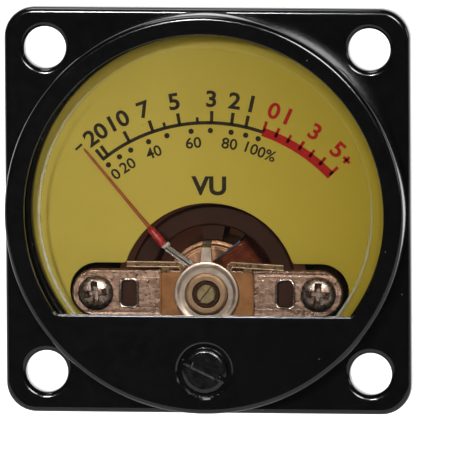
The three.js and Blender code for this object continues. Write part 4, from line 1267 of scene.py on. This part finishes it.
def build_hub():
    bridge = make_object("bridge_bar", bridge_bar())
    show(ragged(bridge, 0.5, 0.03, 3), NICKEL, stands_for=["front_bridge"])
    # Painted shade in the punched windows.
    piece("punch_shade_sheets", punch_shade_sheets(), BROWN)
    rims = make_object("punch_rims", punch_rims())
    # The rims wear the lighter nickel as a painted highlight.
    show(ragged(rims, 0.4, 0.07, 5), HIGHLIGHT_NICKEL)
    for side, x, turn in (("left", -SCREW_X, -8), ("right", SCREW_X, 4)):
        screw = cross_screw(f"cross_screw_{side}", x, turn)
        show(screw, SCREW_NICKEL, stands_for=[f"bridge_screw_{side}"])
    piece("stop_spring_plate", stop_spring(), COPPER_PLATE, stands_for=["pointer_stop_spring"])
    piece("stop_spring_strips", stop_strips(), STRIP_BRASS)
    piece("strip_edges", strip_edges(), HIGHLIGHT_BRASS)
    piece("hub_ring", hub_ring(), DISH, stands_for=["bridge_bush"])
    show(bearing_screw(), BRASS, stands_for=["jewel_screw_front"])
    piece("bearing_shade", bearing_shade(), BROWN)
    piece("core_body", core_body(), CORE_FACE, stands_for=["core_magnet"])
    piece("yoke_body", yoke_body(), BROWN, stands_for=["yoke_ring"])
    # Painted light: the two rings below carry a weak emission in place of the dim light deep in the case.
    piece("gap_painted_glow_ring", gap_painted_glow_ring(), PAINTED_GLOW)
    piece("opening_painted_glow_ring", opening_painted_glow_ring(), PAINTED_GLOW)


def build_moving():
    piece("needle", needle(), ORANGE, "moving_coil", ["pointer"])
    piece("needle_sleeve", needle_sleeve(), RED, "moving_coil")
    piece("needle_bead", needle_bead(), BEAD, "moving_coil")
    arm = make_object("folded_arm", pointer_arm())
    show(ragged(arm, 0.35, 0.06, 7), FOIL, "moving_coil", ["pointer_arm"])
    piece("wound_turns", winding(), WIRE, "moving_coil", ["coil_winding"])
    piece("former_edges", coil_former(), BLUED, "moving_coil", ["coil_bobbin"])
    piece("lever_disc", lever_disc(), PLATED, "zero_lever", ["zero_lever"])
    show(zero_screw(), SATIN, "zero_screw", ["zero_screw"])
    piece("hole_flash", screw_burrs(), SATIN)


def finish_cad_nodes():
    """Materials for the CAD nodes that stay as they are."""
    finishes = {
        "movement_frame": BROWN, "core_support_upper": BROWN, "core_support_lower": BROWN, "rear_bridge": NICKEL,
        "rear_bridge_screw_left": STEEL, "rear_bridge_screw_right": STEEL, "jewel_screw_rear": BRASS,
        "jewel_nut_rear": BRASS, "rear_spring_tab": BRASS, "spring_tab_washer": RESIN, "jewel_front": RUBY,
        "jewel_rear": RUBY, "hairspring_front": STRIP_BRASS, "hairspring_rear": STRIP_BRASS,
        "lamp_holder": RESIN, "lamp_bulb": CLEAR, "frame_lead": WIRE, "spring_lead": WIRE, "front_pivot": STEEL,
        "rear_pivot": STEEL, "zero_screw_retainer": STEEL, "balance_weight_tail": BRASS,
        "balance_weight_left": BRASS, "balance_weight_right": BRASS,
    }
    for node, material in finishes.items():
        obj = frame["nodes"][node]
        for slot in obj.material_slots:
            slot.material = material


# ---- Floor, light and camera --------------------------------------------------------------------

VIEW_AZIMUTH, VIEW_ELEVATION, VIEW_ROLL = 6.8, 6.8, 0.33
FRAME_HEIGHT = 39.45
CAMERA_DISTANCE = 1500
AIM = Vector((1.6, -2, -1.62))


def plain_card(name, corners_mm, strength):
    """A flat white card through four corners. strength is its own light."""
    card = make_object(name, (corners_mm, [(0, 1, 2, 3)]))
    nodes = Nodes(name)
    nodes.surface((0.9, 0.9, 0.9), 0.9, Emission_Strength=strength, Emission_Color=(1, 1, 1, 1))
    card.data.materials.append(nodes.material)
    return card


def area_light(name, place, aim, size, power):
    data = bpy.data.lights.new(name, "AREA")
    data.shape = "DISK"
    data.size = size * MM
    data.energy = power
    light = bpy.data.objects.new(name, data)
    light.location = Vector(place) * MM
    light.rotation_euler = (Vector(aim) - Vector(place)).to_track_quat("-Z", "Y").to_euler()
    bpy.context.scene.collection.objects.link(light)
    return light


def soft_spot(name, place, aim, reach, softness, power):
    """A spotlight that lights a soft-edged round patch, whose radius is reach millimetres where it is aimed."""
    data = bpy.data.lights.new(name, "SPOT")
    data.spot_size = 2 * math.atan(reach / (Vector(aim) - Vector(place)).length)
    data.spot_blend = softness
    data.shadow_soft_size = 30 * MM
    data.energy = power
    light = bpy.data.objects.new(name, data)
    light.location = Vector(place) * MM
    light.rotation_euler = (Vector(aim) - Vector(place)).to_track_quat("-Z", "Y").to_euler()
    bpy.context.scene.collection.objects.link(light)


def build_stage():
    low, rear, side, top = -60, 2600, 8000, 8000
    near, far = -150, 120
    plain_card("near_floor", [(-side, near, low), (side, near, low), (side, far, low), (-side, far, low)], 0.03)
    plain_card("floor", [(-side, far, low), (side, far, low), (side, rear, low), (-side, rear, low)], 0.9)
    plain_card("background", [(-side, rear, low), (side, rear, low), (side, rear, top), (-side, rear, top)], 1.2)
    soft_spot("key", (-70, -420, 110), (-11, 0, -4), 27, 0.85, 7.4)
    area_light("fill", (70, -440, 120), (0, 0, 0), 100, 0.6)
    area_light("top", (-60, -60, 260), (0, 0, 0), 120, 0.25)
    area_light("side", (260, -60, 60), (0, 0, 0), 100, 0.08)
    world = bpy.data.worlds.new("studio")
    world.use_nodes = True
    world.node_tree.nodes["Background"].inputs[0].default_value = (0.9, 0.95, 1, 1)
    world.node_tree.nodes["Background"].inputs[1].default_value = 0.04
    bpy.context.scene.world = world
    bpy.context.scene.view_settings.view_transform = "Standard"


def build_camera():
    azimuth, elevation = math.radians(VIEW_AZIMUTH), math.radians(VIEW_ELEVATION)
    back = Vector((math.sin(azimuth) * math.cos(elevation), -math.cos(azimuth) * math.cos(elevation),
                   math.sin(elevation)))
    data = bpy.data.cameras.new("camera")
    data.lens = data.sensor_width * CAMERA_DISTANCE / FRAME_HEIGHT
    data.clip_start, data.clip_end = 0.01, 10
    camera = bpy.data.objects.new("camera", data)
    camera.location = (AIM + back * CAMERA_DISTANCE) * MM
    look = back.to_track_quat("Z", "Y").to_matrix() @ Matrix.Rotation(math.radians(-VIEW_ROLL), 3, "Z")
    camera.rotation_euler = look.to_euler()
    bpy.context.scene.collection.objects.link(camera)
    bpy.context.scene.camera = camera


build_camera()
build_stage()
build_case()
build_hub()
build_moving()
finish_cad_nodes()
